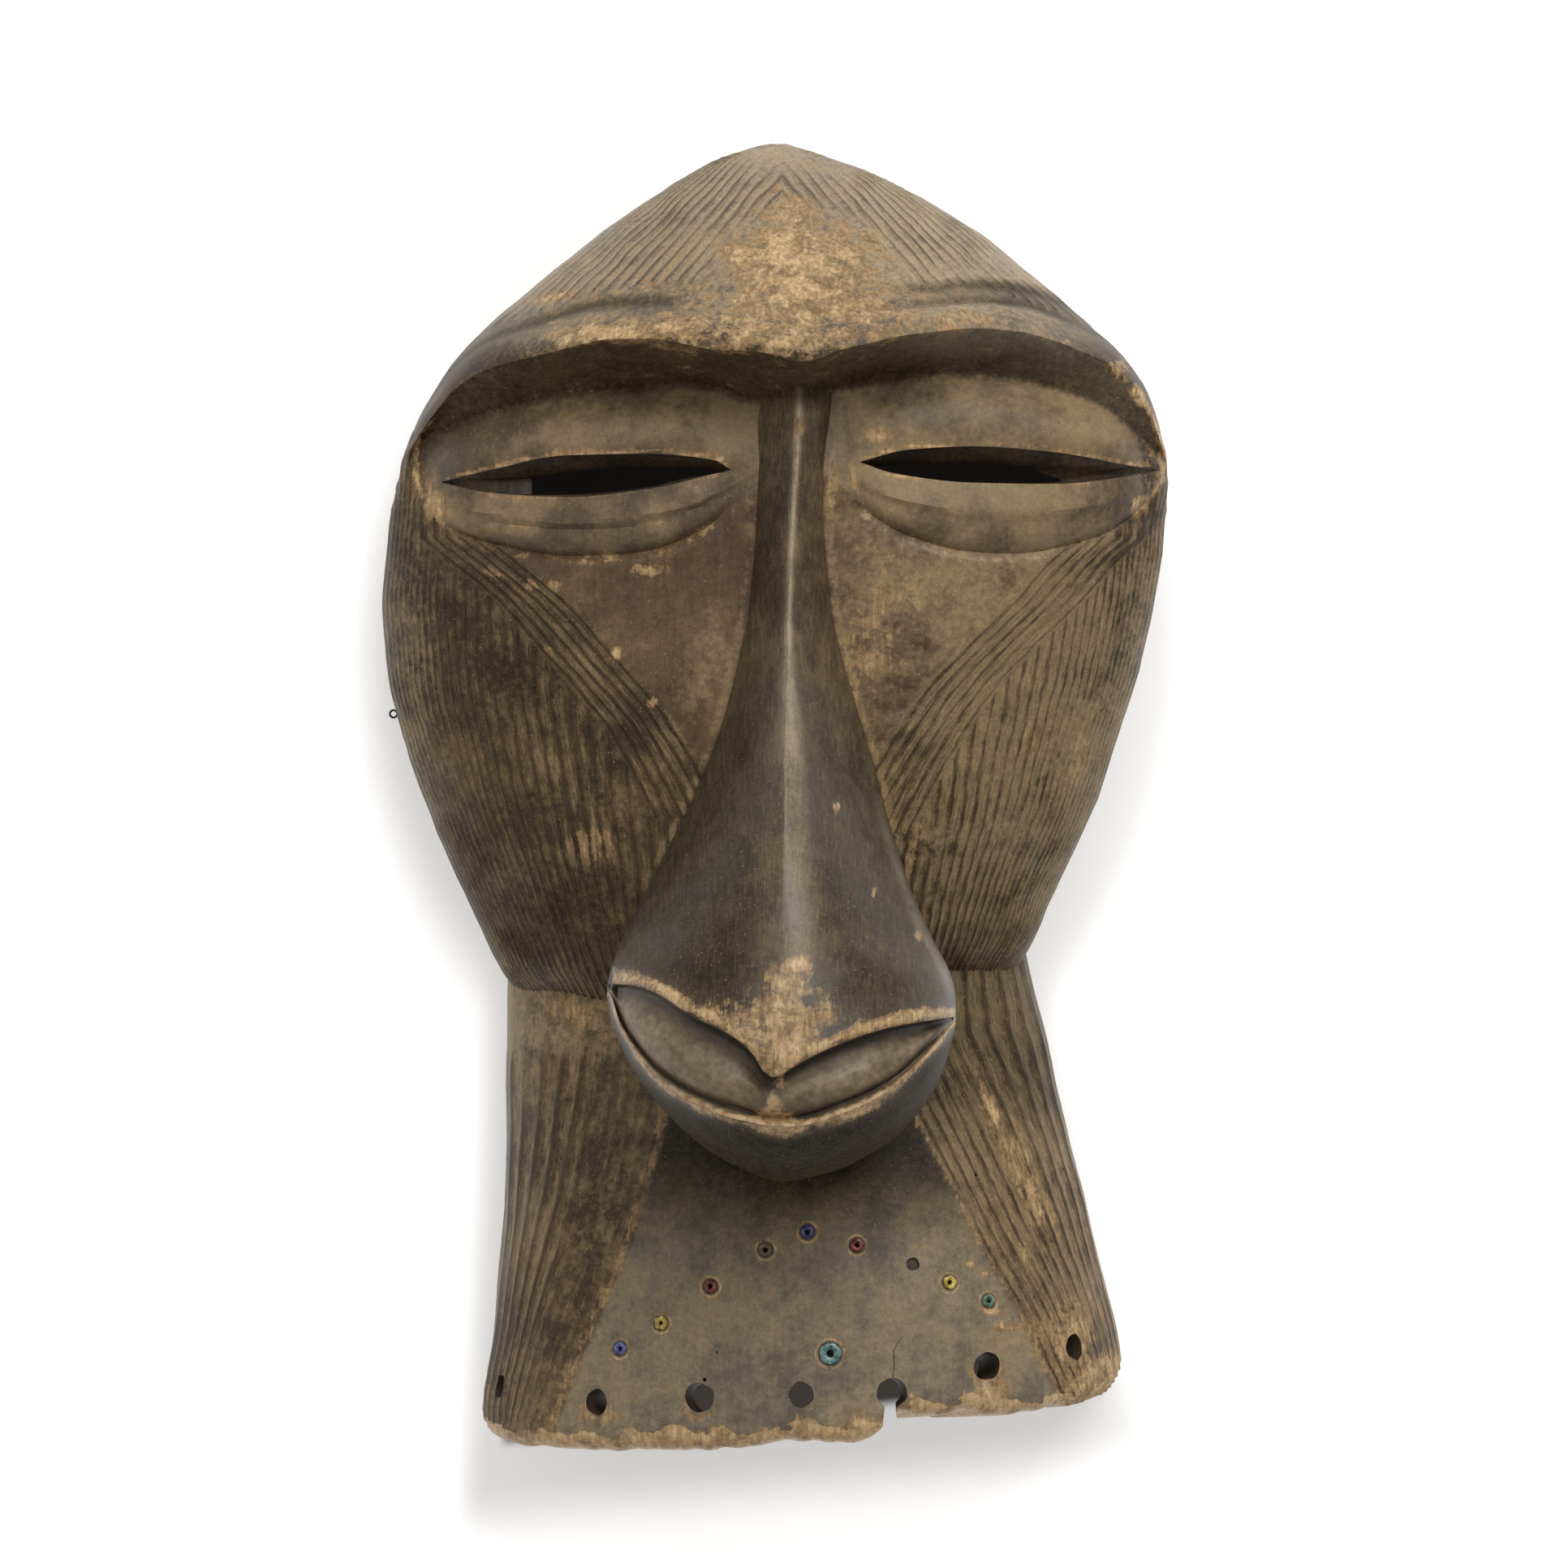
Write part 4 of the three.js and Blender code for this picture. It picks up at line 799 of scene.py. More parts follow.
def head_finish(u, v, z, ground):
    brow = v - BROW(u)
    fold = brow - FOLD(u)
    socket = fade(brow, -1.5, 0)
    lid = fade(v - CREASE(u), 0, 1.5) * fade(LID(u) - v, -0.5, 1) * fade(98 - np.abs(u), 0, 4)
    lid_dust, rims = 0, []
    for side, (upper, lower) in enumerate(LIDS):
        under = (lower(u) - v) / np.maximum(lower(u) - CREASE(u), 1)
        dusty, cleaner = LID_DUST[side]
        lid_dust = lid_dust + on_side(u, side) * (dusty - cleaner * fade(under, 0.48, 0.6))
        above, below = list(zip(upper.x, upper.y)), list(zip(lower.x, lower.y))
        middle = [(a, b + 0.56 * (CREASE(a) - b)) for a, b in below[1:-1]]
        rims.append(0.72 * near(u, v, [(a, b + 0.7) for a, b in above], 0.8))
        rims.append(0.45 * near(u, v, [(a, b - 0.5) for a, b in below], 0.7))
        rims.append(0.3 * near(u, v, middle, 0.8))
    rims.append(0.34 * near(u, v, [(a, b - 1.6) for a, b in LID_CREASE[2:-2]], 1.2))
    rims += [0.6 * near(v, u, LEFT_RIM, 1.1), 0.7 * near(v, u, RIGHT_RIM, 1.3)]
    left_nose = near(v, u, [(row[0], row[1] - 1.3) for row in MUZZLE[2:12]], 1.8)
    right_nose = near(v, u, [(row[0], row[3] + 1.2) for row in MUZZLE[2:12]], 1.3)
    worn = strongest(patches(u, v, FACE_WORN), *rims, 0.15 * left_nose, 0.45 * right_nose)
    unworn = 0.15 * np.maximum(lid, ground * np.where(u < 0, 1, 0.3)) * fade(0.3 - worn, 0, 0.3)
    under_brow = (1 - socket) * fade(v - LID(u), -0.5, 1.5) * (np.abs(u) < 104)
    right, left = fade(u, 12, 66), fade(-u, 18, 44)
    fold_zone = right * fade(fold, -1.4, 0.2) * fade(7 - fold, 0, 2) + left * bump(fold, 2.4)
    second = bump(fold - 4.0, 1.0) * fade(u, *SECOND_FOLD)
    fold_lines = right * np.maximum(bump(fold, 0.8), second) + left * bump(fold, 1.2)
    # Painted shade under the brow's overhang, deepest just above the lid, and in the brow fold's creases; the
    # fold's band is slate
    dark = (0.25 + 0.4 * bump(v - LID(u) - 1.2, 1.6)) * under_brow + 0.54 * fold_zone + 0.3 * fold_lines
    # Painted shade on the underside of the jaw, stronger on the right
    jaw_shade = np.where(u < 0, 0.2, 0.45) * fade(-v, 50, 58)
    # Chalky tone on the forehead, with painted light: paler up towards the crown and towards the upper right
    pale = 0.8 * fade(v, 112, 135) * (0.75 + 0.25 * fade(u + 0.6 * (v - 130), -40, 60))
    grey = np.maximum(0.7 * patches(u, v, GREY_PLACES), 0.9 * fold_zone)
    dust = np.maximum(patches(u, v, FACE_DUST), 0.5 * fade(v, 108, 120))
    dust = dust * (1 - ground * np.where(u < 0, 0.5, 0)) * (1 - 0.8 * under_brow)
    dust = dust + (lid_dust - dust) * lid
    on_top = 1 - 0.85 * fade(WALL(v) - z, 3, 25)
    return {
        "worn": worn * (1 - 0.85 * fold_zone) * on_top - unworn,
        "dark": strongest(dark, patches(u, v, DARK_PLACES), jaw_shade) * on_top,
        "grey": np.maximum(grey * on_top, 0.3 * lid),
        "warm": strongest(ground, 0.8 * lid, 0.5 * under_brow),
        "calm": np.maximum(0.75 * lid, 0.4 * ground),
        "dust": strongest(dust, 0.6 * left_nose, 0.95 * right_nose),
        "pale": pale * (1 - 0.9 * fold_zone),
        "gloss": 0.3 * ground,
    }


def muzzle_finish(u, v, z):
    left, ridge, right, *_ = (curve(v) for curve in MUZZLE_CURVES)
    from_lip, below = v - LIPS[0](u), LIPS[1](u) - v
    ragged = 1 + 0.3 * ripple(u, v, 9, 71)
    upper_rim = 0.85 * bump(from_lip - 1.8, 2.0 * ragged) * (np.abs(u) < 46)
    lower_rim = 0.8 * bump(below - 0.4, 1.1 * ragged) * (v < -56)
    worn = strongest(patches(u, v, MUZZLE_WORN), upper_rim, lower_rim)
    unworn = 0.25 * fade(0.3 - worn, 0, 0.3)
    # The chin below the lower lip is near black: dark patina, with painted shade on its underside
    chin, low = fade(below, 1.5, 5), fade(-v, -50, 30)
    beside_mouth = fade(-v, 45, 52) * fade(112 - z, 0, 9)
    # Painted shade where the brow overhangs the top of the nose
    under_brow = fade(v, LID(u) - 1, LID(u) + 2)
    # Painted highlight along the ridge, wider and shifted right low down, and along the right edge (rim):
    # paler, greyer, less dark
    crest = bump(u - ridge - 3.4 * low, 0.9 + 4 * low) * fade(v, -60, -30)
    crest = crest * (1 - low * fade(ridge - u, -0.6, 1.6))
    rim = bump(right - u - 1.6, 1.3) * fade(-v, 0, 15) * fade(v, -60, -50)
    side = np.where(u < ridge, (ridge - u) / (ridge - left), (u - ridge) / (right - ridge))
    # Dark patina on the flanks with painted shade, deeper towards the steep sides, on the left and lower down
    flank = 0.34 + np.where(u < ridge, 0.32, 0.2) * fade(side, 0.03, 0.3)
    flank = (flank + 0.24 * fade(-v, -40, 30) * fade(side, 0.08, 0.4)) * (1 - 0.4 * fade(v, 0, 50))
    lit = (1 - 0.6 * rim) * (1 - (0.9 - 0.35 * low) * crest)
    dark = np.maximum(np.clip(flank + chin, 0, 1.1) * lit, 0.8 * under_brow)
    return {
        "worn": worn * (1 - 0.7 * chin) * (1 - under_brow) * (1 - beside_mouth) - unworn,
        "dark": dark * (1 - 0.8 * np.minimum(worn, 1)),
        # grey: slate patina, plus painted sheen on the ridge and the right edge
        "grey": np.clip((0.15 + 0.2 * low + 0.5 * crest + rim) * (1 - chin), 0, 1),
        "warm": 0.0,
        "dust": 0.3,
        "pale": crest * (0.1 + 0.9 * fade(v, -40, 50)),
        "gloss": (0.4 + (0.4 - 0.25 * low) * crest + 0.2 * rim) * (1 - 0.6 * chin),
        "calm": 0.3,
        "streak": u / 4,
        "comb": 0.9 * (1 - 0.7 * chin),
    }


def neck_finish(u, v, past):
    panel = fade(u - PANEL_LEFT(v), -1, 1) * fade(PANEL_RIGHT(v) - u, -1, 1)
    band_height = np.where(u < 24, 5.0, 4.0) + 1.6 * ripple(u, v, 14, 51) + 0.7 * ripple(u, v, 4, 52)
    rim = 1.35 * (1 - fade(v - EDGE(u) - band_height, -1.5, 0.5))
    sides = [(u - PANEL_LEFT(v) + 1.5, 1.6), (u - PANEL_RIGHT(v) - 0.4, 0.8)]
    edges = [0.5 * bump(across, width) * fade(-v, 75, 90) for across, width in sides]
    holes = [0.42 * bump(np.hypot(u - a, v - b + 2) - radius, 1.6) for a, b, radius in COSTUME_HOLES]
    worn = strongest(patches(u, v, NECK_WORN), rim, *edges, *holes)
    unworn = 0.25 * panel * fade(0.3 - worn, 0, 0.3)
    # Painted shadow cast by the muzzle on the panel below the chin, and painted shade under the jaw on the
    # right
    chin_shadow = fade(v, -128, -98) * panel
    jaw_shadow = fade(v, -100, -80) * (1 - panel) * fade(u, -30, 0)
    dust = np.where(u < 0, 0.44 + 0.36 * fade(v, *COLLAR), 0.66)
    return {
        "worn": np.maximum(worn, past * 0.8) - unworn,
        "dark": np.clip(1.05 * chin_shadow + 0.5 * jaw_shadow, 0, 1.05),
        "grey": panel * (1 - 0.7 * chin_shadow),
        "warm": 0.35 * (1 - panel),
        "dust": dust * (1 - panel) + 0.46 * panel,
        "pale": 0.0,
        "gloss": 0.35 * panel,
        "calm": 0.5 * panel,
    }


# Materials
def colour(*display):
    """A colour from its display values: red, green and blue, from 0 to 255."""
    return (*(((part / 255 + 0.055) / 1.055) ** 2.4 for part in display), 1)


class Value:
    """What a material's node gives, which can be added to and multiplied."""

    def __init__(self, nodes, socket):
        self.nodes, self.socket = nodes, socket

    def __add__(self, other):
        return self.nodes.math("ADD", self, other)

    def __mul__(self, other):
        return self.nodes.math("MULTIPLY", self, other)


class Nodes:
    """Short calls for building a material's nodes."""

    def __init__(self, name):
        self.material = bpy.data.materials.new(name)
        self.material.use_nodes = True
        self.tree = self.material.node_tree
        self.tree.nodes.clear()
        self.place = self.node("TexCoord", {}, "Object")

    def node(self, kind, inputs, output=0, **settings):
        """One output of a new node that has these settings and inputs."""
        node = self.tree.nodes.new("ShaderNode" + kind)
        for key, setting in settings.items():
            setattr(node, key, setting)
        for key, value in inputs.items():
            if isinstance(value, Value):
                self.tree.links.new(value.socket, node.inputs[key])
            else:
                node.inputs[key].default_value = value
        return Value(self, node.outputs[output])

    def shaded(self, **looks):
        """The finished material; the looks go by the shader's own names, with _ for each space."""
        shader = self.node("BsdfPrincipled", {key.replace("_", " "): value for key, value in looks.items()})
        end = self.tree.nodes.new("ShaderNodeOutputMaterial")
        self.tree.links.new(shader.socket, end.inputs["Surface"])
        return self.material

    def value(self, name):
        return self.node("Attribute", {}, "Fac", attribute_name=name)

    def math(self, operation, a, b=0.0, c=0.0):
        return self.node("Math", {0: a, 1: b, 2: c}, operation=operation)

    def axes(self):
        """Where a place is along x and along y, in metres."""
        return [self.node("SeparateXYZ", {0: self.place}, axis) for axis in (0, 1)]

    def noise_at(self, place, detail, roughness):
        inputs = {"Vector": place, "Scale": 1, "Detail": detail, "Roughness": roughness}
        return self.node("TexNoise", inputs, "Fac")

    def noise(self, size, detail=3.0, stretch=(1, 1, 1), roughness=0.55):
        """Noise whose features are about size millimetres across."""
        scale = [1 / (size * MM * k) for k in stretch]
        place = self.node("Mapping", {"Vector": self.place, "Scale": scale})
        return self.noise_at(place, detail, roughness)

    def streaks(self, across, length):
        """Noise drawn out along the carved lines: features across a line, and their length in millimetres."""
        x, y = self.axes()
        pace = 1 / (length * MM)
        place = self.node("CombineXYZ", {0: self.value("streak") * across, 1: y * pace, 2: x * (pace / 4)})
        return self.noise_at(place, 4, 0.6)

    def distance(self, point):
        """How far a place is from a point, in millimetres."""
        apart = self.node("VectorMath", {0: self.place, 1: point * MM}, "Value", operation="DISTANCE")
        return apart * (1 / MM)

    def between(self, share, start, end):
        return self.math("MULTIPLY_ADD", share, self.math("SUBTRACT", end, start), start)

    def total(self, offset, *parts):
        """The offset plus each value times its weight."""
        for value, weight in parts:
            offset = self.math("MULTIPLY_ADD", value, weight, offset)
        return offset

    def step(self, value, start, end, low=0.0, high=1.0):
        inputs = {"Value": value, "From Min": start, "From Max": end, "To Min": low, "To Max": high}
        return self.node("MapRange", inputs, "Result", interpolation_type="SMOOTHSTEP")

    def mix(self, share, a, b):
        """A blend of two tones, each a value or its display values."""
        a, b = (colour(*tone) if isinstance(tone, tuple) else tone for tone in (a, b))
        return self.node("Mix", {0: share, 6: a, 7: b}, 2, data_type="RGBA")

    def bump(self, height, distance, strength):
        return self.node("Bump", {"Height": height, "Distance": distance * MM, "Strength": strength})


def carved(nodes, side, sharpness):
    """Nearness to the cuts (side -0.5) or ridges (side 0.5) of the carved lines, up to the lines' share."""
    parts = []
    for name in ("line", "band"):
        turn = nodes.value(name) * (2 * math.pi)
        wave = nodes.total(0.5, (nodes.math("COSINE", turn), side))
        parts.append(nodes.math("POWER", wave, sharpness) * nodes.value(name + "_share"))
    return parts[0] + parts[1]


def bead_gap(nodes):
    """How far a place is from the nearest bead's rim, in millimetres."""
    nearest = 100.0
    for u, v, radius in bead_places():
        middle = on_neck(u, v)[0] + frame_shift()
        nearest = nodes.math("MINIMUM", nearest, nodes.total(-radius, (nodes.distance(middle), 1.0)))
    return nearest


def wood_material():
    """Brown patina, darker in the cuts, dusty on the ridges, rubbed bare in patches; painted shade under the
    brow and jaw, painted shadows and painted highlights.
    """
    nodes = Nodes("patinated_wood")
    mix, noise, step, total, value = nodes.mix, nodes.noise, nodes.step, nodes.total, nodes.value
    cut, crest = carved(nodes, -0.5, CUT_TONE_SHARPNESS), carved(nodes, 0.5, CREST_SHARPNESS)
    broad, mid, fine = noise(22, 4), noise(6, 6, roughness=0.62), noise(1.8, 4, roughness=0.65)
    speck, grain, grit = noise(0.6, 2), noise(1.1, 4, (1, 10, 1)), noise(0.8, 4, roughness=0.7)
    comb, calm, dust, pale, dark, gloss = (value(name) for name in "comb calm dust pale dark gloss".split())
    mid_soft, fine_soft = nodes.between(calm, mid, broad), nodes.between(calm, fine, 0.5)
    along = nodes.between(comb, mid_soft, nodes.streaks(3.2, 10))
    threads = nodes.between(comb, fine_soft, nodes.streaks(8, 5))
    mottle = total(0.0, (broad, 0.3), (mid_soft, 0.25), (fine_soft, 0.2), (threads, 0.25))
    blend = step(mottle, 0.4, 0.6)
    soft = step(total(0.0, (broad, 0.4), (mid, 0.25), (fine, 0.2), (grain, 0.15)), 0.36, 0.64)

    patina = mix(blend, (58, 44, 30), (108, 87, 61))
    smooth = mix(soft, (74, 56, 40), (118, 94, 67))
    slate = mix(soft, (96, 87, 73), (140, 127, 106))
    chalky_and_lit = mix(blend, (126, 110, 86), (186, 168, 138))
    tone = mix(value("warm"), patina, smooth)
    tone = mix(value("grey"), tone, slate)
    # pale: chalky tone with painted light on the forehead, and the painted highlight on the nose's ridge
    tone = mix(pale, tone, chalky_and_lit)
    clouds = [(dust, 1.0), (along, 0.9), (threads, 0.7), (fine_soft, 0.2), (mid_soft, 0.7), (broad, 0.7)]
    film = step(total(-1.6, *clouds, (cut, -0.35), (crest, 0.15)), 0.25, 0.9)
    khaki = mix(step(threads, 0.38, 0.62), (134, 114, 82), (160, 138, 100))
    tone = mix(film * 0.75, tone, khaki)
    cut_tone = mix(pale, (40, 30, 21), (84, 69, 51))
    cut_share = total(0.54, (dust, -0.2), (pale, 0.3))
    tone = mix(step(cut, 0.25, 0.85) * cut_share, tone, cut_tone)
    # Painted highlight: the carved ridges are lightened where the wood is pale
    tone = mix(crest * pale * 0.3, tone, (206, 190, 160))
    # The dark tone: dark patina, and painted shade and shadow where the dark value marks them
    sooty = step(total(0.0, (threads, 0.5), (mid, 0.3), (fine, 0.2)), 0.4, 0.6)
    soot_and_shade = mix(sooty, (25, 20, 14), (58, 48, 34))
    tone = mix(dark * 0.9, tone, soot_and_shade)

    clouds = [(value("worn"), 1.1), (broad, 0.8), (mid, 1.3), (fine, 0.2), (along, 0.5), (threads, 0.5)]
    rubbed = total(-1.85, *clouds, (grain, 0.2), (cut, -0.3))
    gap = bead_gap(nodes)
    crust = step(gap, 0.4, 0.7) * step(gap, 1.1, 1.5, 1.0, 0.0)
    rubbed = total(0.0, (rubbed, 1.0), (crust, 0.95))
    tone = mix(step(gap, 0.1, 0.6, 0.75, 0.0), tone, (48, 38, 28))
    thin = mix(step(grain, 0.4, 0.6), (140, 110, 74), (168, 138, 98))
    bare = mix(step(grain, 0.35, 0.65), (178, 145, 101), (208, 178, 134))
    blotch = step(noise(3.5, 5, (1, 0.6, 1), 0.6), 0.53, 0.58, 0.9, 0.3)
    tone = mix(step(rubbed, 0.2, 0.38) * blotch, tone, thin)
    stained = step(noise(5, 6, (1, 1.4, 1), 0.62), 0.5, 0.57, 0.9, 0.3)
    tone = mix(step(rubbed, 0.45, 0.75) * stained, tone, bare)
    stain = step(noise(4.5, 4, (1, 0.7, 1)), 0.56, 0.62, 0.0, 0.5)
    tone = mix(step(rubbed, 0.2, 0.5) * stain, tone, (98, 76, 50))
    tone = mix(step(speck, 0.67, 0.72, 0.0, 0.6), tone, (180, 150, 108))
    grime = step(grit, 0.34, 0.62, 0.3, 0.0) * total(1.0, (calm, -0.7))
    tone = mix(grime, tone, (36, 28, 20))

    bared = step(rubbed, 0.2, 0.85)
    hollows = [(cut, -0.35), (mid, 0.2), (fine, 0.1), (grain, 0.06), (speck, 0.04), (bared, -0.1)]
    return nodes.shaded(
        Base_Color=tone,
        Normal=nodes.bump(total(0.0, *hollows), 1.0, 0.7),
        Roughness=total(0.22, (mottle, 0.55), (cut, 0.2), (gloss, -0.18)),
        Specular_IOR_Level=total(0.2, (gloss, 0.3), (dark, -0.16)),
    )


def plain_wood_material(name, dark, light, roughness, grain_depth):
    """Unfinished or sooty wood of two tones, with grain along the mask."""
    nodes = Nodes(name)
    broad, grain = nodes.noise(12, 4), nodes.noise(1.4, 4, (1, 8, 1))
    tone = nodes.mix(nodes.step(nodes.total(broad * 0.5, (grain, 0.5)), 0.35, 0.68), dark, light)
    return nodes.shaded(Base_Color=tone, Normal=nodes.bump(grain, grain_depth, 0.7), Roughness=roughness)


def mouth_material():
    nodes = Nodes("mouth_wood")
    broad, fine, speck = nodes.noise(14, 4), nodes.noise(2.0, 4), nodes.noise(0.8, 3)
    mottle = nodes.total(broad * 0.5, (fine, 0.5))
    tone = nodes.mix(nodes.step(mottle, 0.32, 0.68), (94, 79, 59), (144, 126, 98))
    # Painted shadow under the upper lip, and the darkened groove by the rim
    tone = nodes.mix(nodes.value("dark") * 0.9, tone, (34, 27, 20))
    rubbed = nodes.value("worn") + nodes.total(-0.6, (mottle, 1.2)) + nodes.total(-0.2, (speck, 0.4))
    bare = nodes.mix(nodes.step(fine, 0.4, 0.6), (146, 112, 78), (188, 156, 114))
    tone = nodes.mix(nodes.step(rubbed, 0.42, 0.7) * 0.85, tone, bare)
    relief = nodes.total(speck * 0.1, (fine, 0.2))
    return nodes.shaded(Base_Color=tone, Normal=nodes.bump(relief, 0.8, 0.6), Roughness=0.5)


def bead_material(name, deep, bright, dusty, roughness=0.22):
    """Old glass under patina: clear colour where it is rubbed, dust in patches."""
    nodes = Nodes(name)
    cloud, speck = nodes.noise(1.6, 3), nodes.noise(0.5, 3)
    tone = nodes.mix(nodes.step(cloud, 0.4, 0.62), deep, bright)
    cover = nodes.step(speck + cloud * 0.5, 0.95 - dusty, 1.05 - dusty)
    return nodes.shaded(
        Base_Color=nodes.mix(cover, tone, (150, 128, 96)),
        Normal=nodes.bump(speck, 0.15, 0.5),
        Roughness=nodes.step(cover, 0, 1, roughness, 0.6),
        Coat_Weight=0.35,
        Coat_Roughness=0.15,
    )


def metal_material():
    nodes = Nodes("dark_wire")
    rust = nodes.noise(1.0, 4)
    tone = nodes.mix(nodes.step(rust, 0.35, 0.65), (58, 54, 50), (104, 92, 80))
    rough = nodes.step(rust, 0.3, 0.7, 0.35, 0.6)
    return nodes.shaded(Base_Color=tone, Normal=nodes.bump(rust, 0.1, 0.5), Metallic=0.7, Roughness=rough)


def floor_material():
    """A pale floor that glows as painted light, painted dark as shade beneath the mask, with a painted
    contact shadow around it.
    """
    nodes = Nodes("pale_floor")
    x, y = nodes.axes()
    (middle_x, middle_y), (half_x, half_y) = UNDER_FACE
    across = nodes.total(-middle_x / half_x, (x, 1 / (half_x * MM)))
    along = nodes.total(-middle_y / half_y, (y, 1 / (half_y * MM)))
    reach = across * across + along * along
    on_neck_ground, near_neck = 1.0, 1.0
    for offset, way_x, way_y, start, end in UNDER_NECK:
        beyond = nodes.total(-offset, (x, way_x / MM), (y, way_y / MM))
        on_neck_ground = nodes.step(beyond, -4, 0, 1.0, 0.0) * on_neck_ground
        near_neck = nodes.step(beyond, start, end, 1.0, 0.0) * near_neck
    # Painted shade: beneath the mask the floor is dark and hardly glows
    outside = nodes.step(reach, 0.7, 0.84) * nodes.math("SUBTRACT", 1.0, on_neck_ground)
    away = nodes.step(reach, 0.98, 1.34) * nodes.math("SUBTRACT", 1.0, near_neck)
    under, beside, far = GLOW
    # Painted light: the floor glows, less close to the mask, which paints a soft contact shadow beside and
    # below it
    glow = nodes.total(LEAST_GLOW, (on_neck_ground, under), (outside, beside), (away, far - beside))
    return nodes.shaded(
        Base_Color=nodes.mix(outside, (96, 84, 72), (205, 204, 202)),
        Roughness=0.9,
        Specular_IOR_Level=0.1,
        Emission_Color=(1, 0.99, 0.98, 1),
        Emission_Strength=glow,
    )


# Pieces
def frame_shift():
    """From the drawing to the part's frame, found from the wire eye, in millimetres."""
    low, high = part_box("wire_eye")
    reach = WIRE["loop"] + WIRE["radius"]
    return Vector((low[0] / MM + WIRE["reach"] + reach, high[1] / MM - WIRE["y"] - reach, 0))


def finish_piece(body, name, node):
    """Turns a drawn body to metres in the part's frame and gives it its place in the model."""
    body.name = name
    body.data.name = name
    body.data.transform(Matrix.Scale(MM, 4) @ Matrix.Translation(frame_shift()))
    body.data.shade_smooth()
    body.data.set_sharp_from_angle(angle=math.radians(SHARP_ANGLE))
    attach(body, "root")
    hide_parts(node)


def carved_mask():
    wood = wood_material()
    inside = plain_wood_material("hollow_wood", (92, 68, 46), (150, 118, 82), 0.75, 0.5)
    slit = plain_wood_material("slit_wood", (40, 31, 23), (84, 66, 47), 0.65, 0.3)
    body = head_form(wood)
    combine(body, neck_form(wood), "UNION")
    combine(body, muzzle_form(wood), "UNION")

    def hole(u, v, radius, length, sides, uneven=0.0):
        return peg("hole", upright(*on_neck(u, v)), radius, length, sides, slit, uneven)

    cutters = [
        hollow_form(HOLLOW, HOLLOW_WALL_HEIGHT, -10, 44, inside),
        hollow_form(FACE_RECESS, 60, 40, 24, inside),
        *(eye_form(eye, slit) for eye in EYES),
        mouth_form(mouth_material()),
        *(hole(*place, CUT_THROUGH, 32, 0.06) for place in COSTUME_HOLES),
        *(hole(*place, WORM_CUT, 32) for place in WORM_HOLES),
        *(hole(u, v, radius + BEAD_SIT, SOCKET_CUT, 24) for u, v, radius in bead_places()),
        hole(*EMPTY_SOCKET, BEAD_RADIUS, EMPTY_CUT, 24, 0.08),
        crack_form(slit),
        hole(*NOTCH, NOTCH_RADIUS, CUT_THROUGH, 40, 0.05),
        slot_form(slit),
        wire_hole(slit),
        ground_block(inside),
    ]
    for cutter in cutters:
        combine(body, cutter)
    finish_piece(body, "carved_mask", "mask")


def wire_hole(material):
    start = -WIRE["reach"] + WIRE["loop"] + WIRE["set_back"]
    place = upright(Vector((start + WIRE["socket"] / 2, WIRE["y"], WIRE["z"])), Vector((1, 0, 0)))
    return peg("wire_hole", place, WIRE["radius"] + 0.1, WIRE["socket"], 16, material)


def ground_block(material):
    """All that is below the rim plane."""
    ring = [(-250, -40), (250, -40), (250, 0), (-250, 0)]
    return loft("below", [[(x, y, z) for y, z in ring] for x in (-250, 250)], material)


def slot_form(material):
    """The broken mouth of the notch, down to the neck's lower edge."""
    centre, _ = on_neck(*NOTCH)
    left, right = (seen(u, 0.0, 82.0)[0] for u in NOTCH_MOUTH)
    rows = []
    for y in np.linspace(centre.y - 24, centre.y, 13):
        a, b = (x + 0.35 * ripple(np.array(y), np.array(x), 8, 61) for x in (left, right))
        rows.append([(x, y, centre.z + rise) for x, rise in ((a, -30), (b, -30), (b, 30), (a, 30))])
    return loft("slot", rows, material)


def crack_form(material):
    """The split above the notch, along points of the neck."""
    rows = []
    side = Vector((CRACK_WIDTH / 2, 0, 0))
    for u, v in CRACK:
        centre, normal = on_neck(u, v)
        low, high = centre - normal * CRACK_DEPTH, centre + normal * 2
        rows.append([low - side, low + side, high + side, high - side])
    return loft("crack", rows, material)


def bead(name, place, radius, material, uneven=0.03):
    """A ring-shaped bead on its side in its socket, its hole facing out."""
    hole = radius * 0.32
    bulge = (radius - hole) / 2
    outline = [(hole, -2.0), (radius, -2.0), (radius, 0.0)]
    for angle in np.radians(np.linspace(20, 160, 7)):
        outline.append((radius - bulge + bulge * math.cos(angle), 0.05 + 0.42 * math.sin(angle)))
    outline.append((hole, 0.0))
    body = lathe(name, upright(*on_neck(*place)), outline, 40, material, uneven)
    finish_piece(body, name + "_glass", name)


def beads():
    glass = {
        "bead_blue": bead_material("blue_glass", (44, 46, 92), (88, 92, 160), 0.12),
        "bead_red": bead_material("red_glass", (84, 24, 22), (136, 52, 46), 0.1),
        "bead_brown": bead_material("brown_bead", (82, 64, 48), (118, 96, 76), 0.15, 0.5),
        "bead_yellow": bead_material("yellow_glass", (140, 118, 36), (204, 184, 84), 0.05, 0.35),
        "bead_green": bead_material("green_glass", (50, 80, 62), (104, 140, 116), 0.14),
    }
    for name, place in SEED_BEADS.items():
        slot = "_".join(name.split("_")[:2])
        bead(name, place, BEAD_RADIUS, glass[slot], 0.1 if slot == "bead_yellow" else 0.03)
    turquoise = bead_material("turquoise_glass", (46, 82, 86), (112, 148, 146), 0.12)
    bead("bead_turquoise", BIG_BEAD, BIG_BEAD_RADIUS, turquoise)


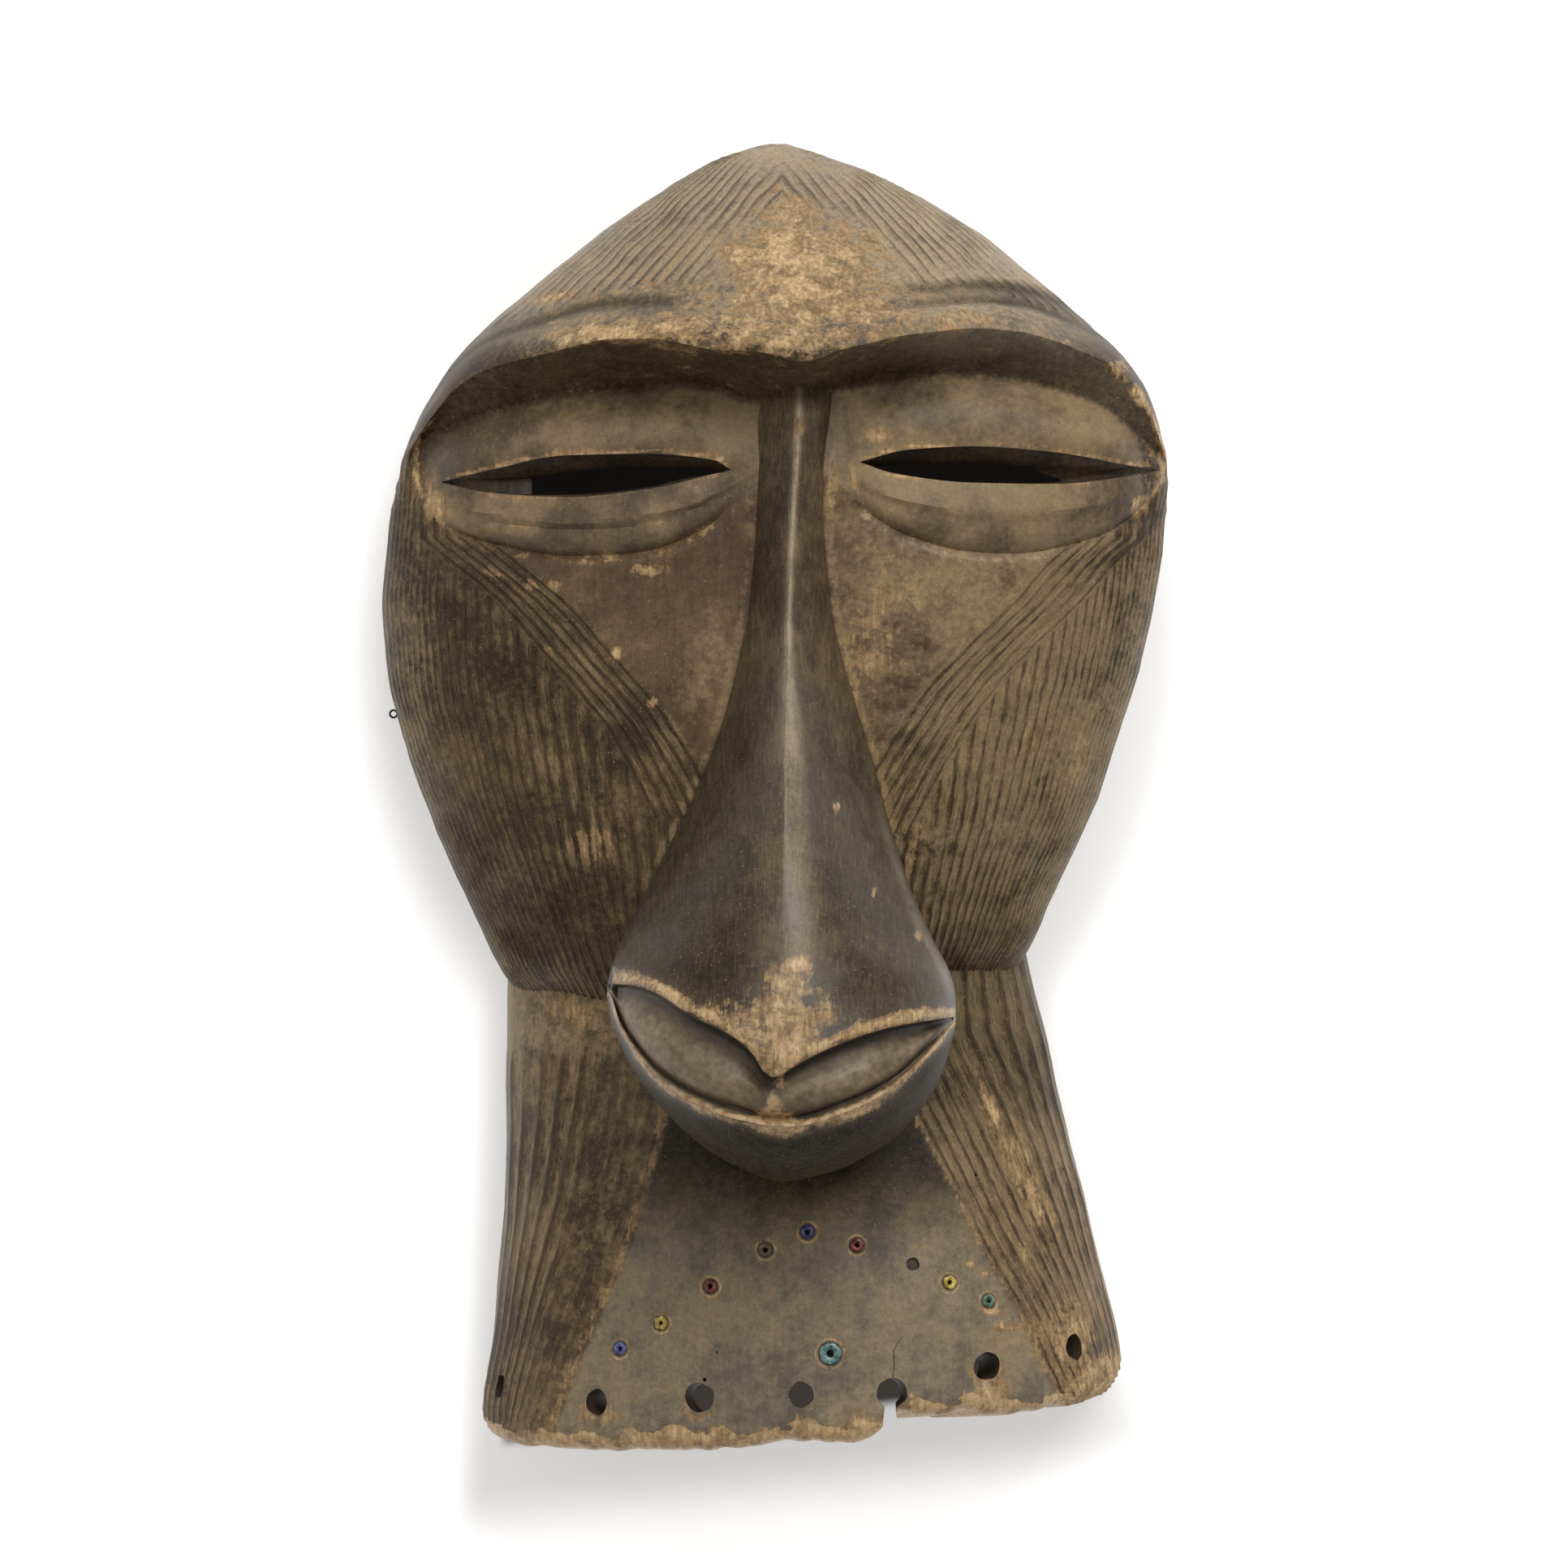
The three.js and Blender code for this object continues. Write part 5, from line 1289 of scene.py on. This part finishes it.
def wire_eye():
    """A small eye of twisted wire on a stem, at the left edge of the face."""
    radius, loop = WIRE["radius"], WIRE["loop"]
    centre = Vector((-WIRE["reach"], WIRE["y"], WIRE["z"]))
    turns = np.linspace(0, 2 * math.pi, 12, endpoint=False)
    tube = [(loop + radius * math.cos(angle), radius * math.sin(angle)) for angle in turns]
    material = metal_material()
    ring = lathe("ring", Matrix.Translation(centre), tube, 48, material)
    middle = centre + Vector((loop + WIRE["stem"] / 2, 0, 0))
    stem = peg("stem", upright(middle, Vector((1, 0, 0))), radius, WIRE["stem"], 16, material)
    combine(ring, stem, "UNION")
    finish_piece(ring, "bent_wire", "wire_eye")


# Setting
def floor():
    corners = [(-FLOOR_HALF, -FLOOR_HALF, 0), (FLOOR_HALF, -FLOOR_HALF, 0)]
    corners += [(FLOOR_HALF, FLOOR_HALF, 0), (-FLOOR_HALF, FLOOR_HALF, 0)]
    body_of("floor", corners, [(0, 1, 2, 3)], floor_material())


def lights():
    for name, place, size, power in SOFTBOXES:
        data = bpy.data.lights.new(name, "AREA")
        data.size = size
        data.energy = power
        light = add(name, data)
        light.location = place
        light.rotation_euler = (Vector(LIT_POINT) - Vector(place)).to_track_quat("-Z", "Y").to_euler()
    world = bpy.data.worlds.new("studio")
    world.use_nodes = True
    background = world.node_tree.nodes["Background"]
    background.inputs["Color"].default_value = (1, 1, 1, 1)
    background.inputs["Strength"].default_value = WORLD_STRENGTH
    bpy.context.scene.world = world
    bpy.context.scene.view_settings.view_transform = "Standard"


def camera():
    """Straight above the middle of the drawing, EYE_HEIGHT above the rim plane."""
    data = bpy.data.cameras.new("camera")
    data.sensor_width = 36
    data.lens = (EYE_HEIGHT - DRAWN_HEIGHT) / MILLIMETRES_PER_PIXEL / PHOTO_WIDTH * data.sensor_width
    eye = add("camera", data)
    eye.location = frame_shift() * MM + Vector((0, 0, EYE_HEIGHT * MM))
    bpy.context.scene.camera = eye


camera()
lights()
floor()
carved_mask()
beads()
wire_eye()
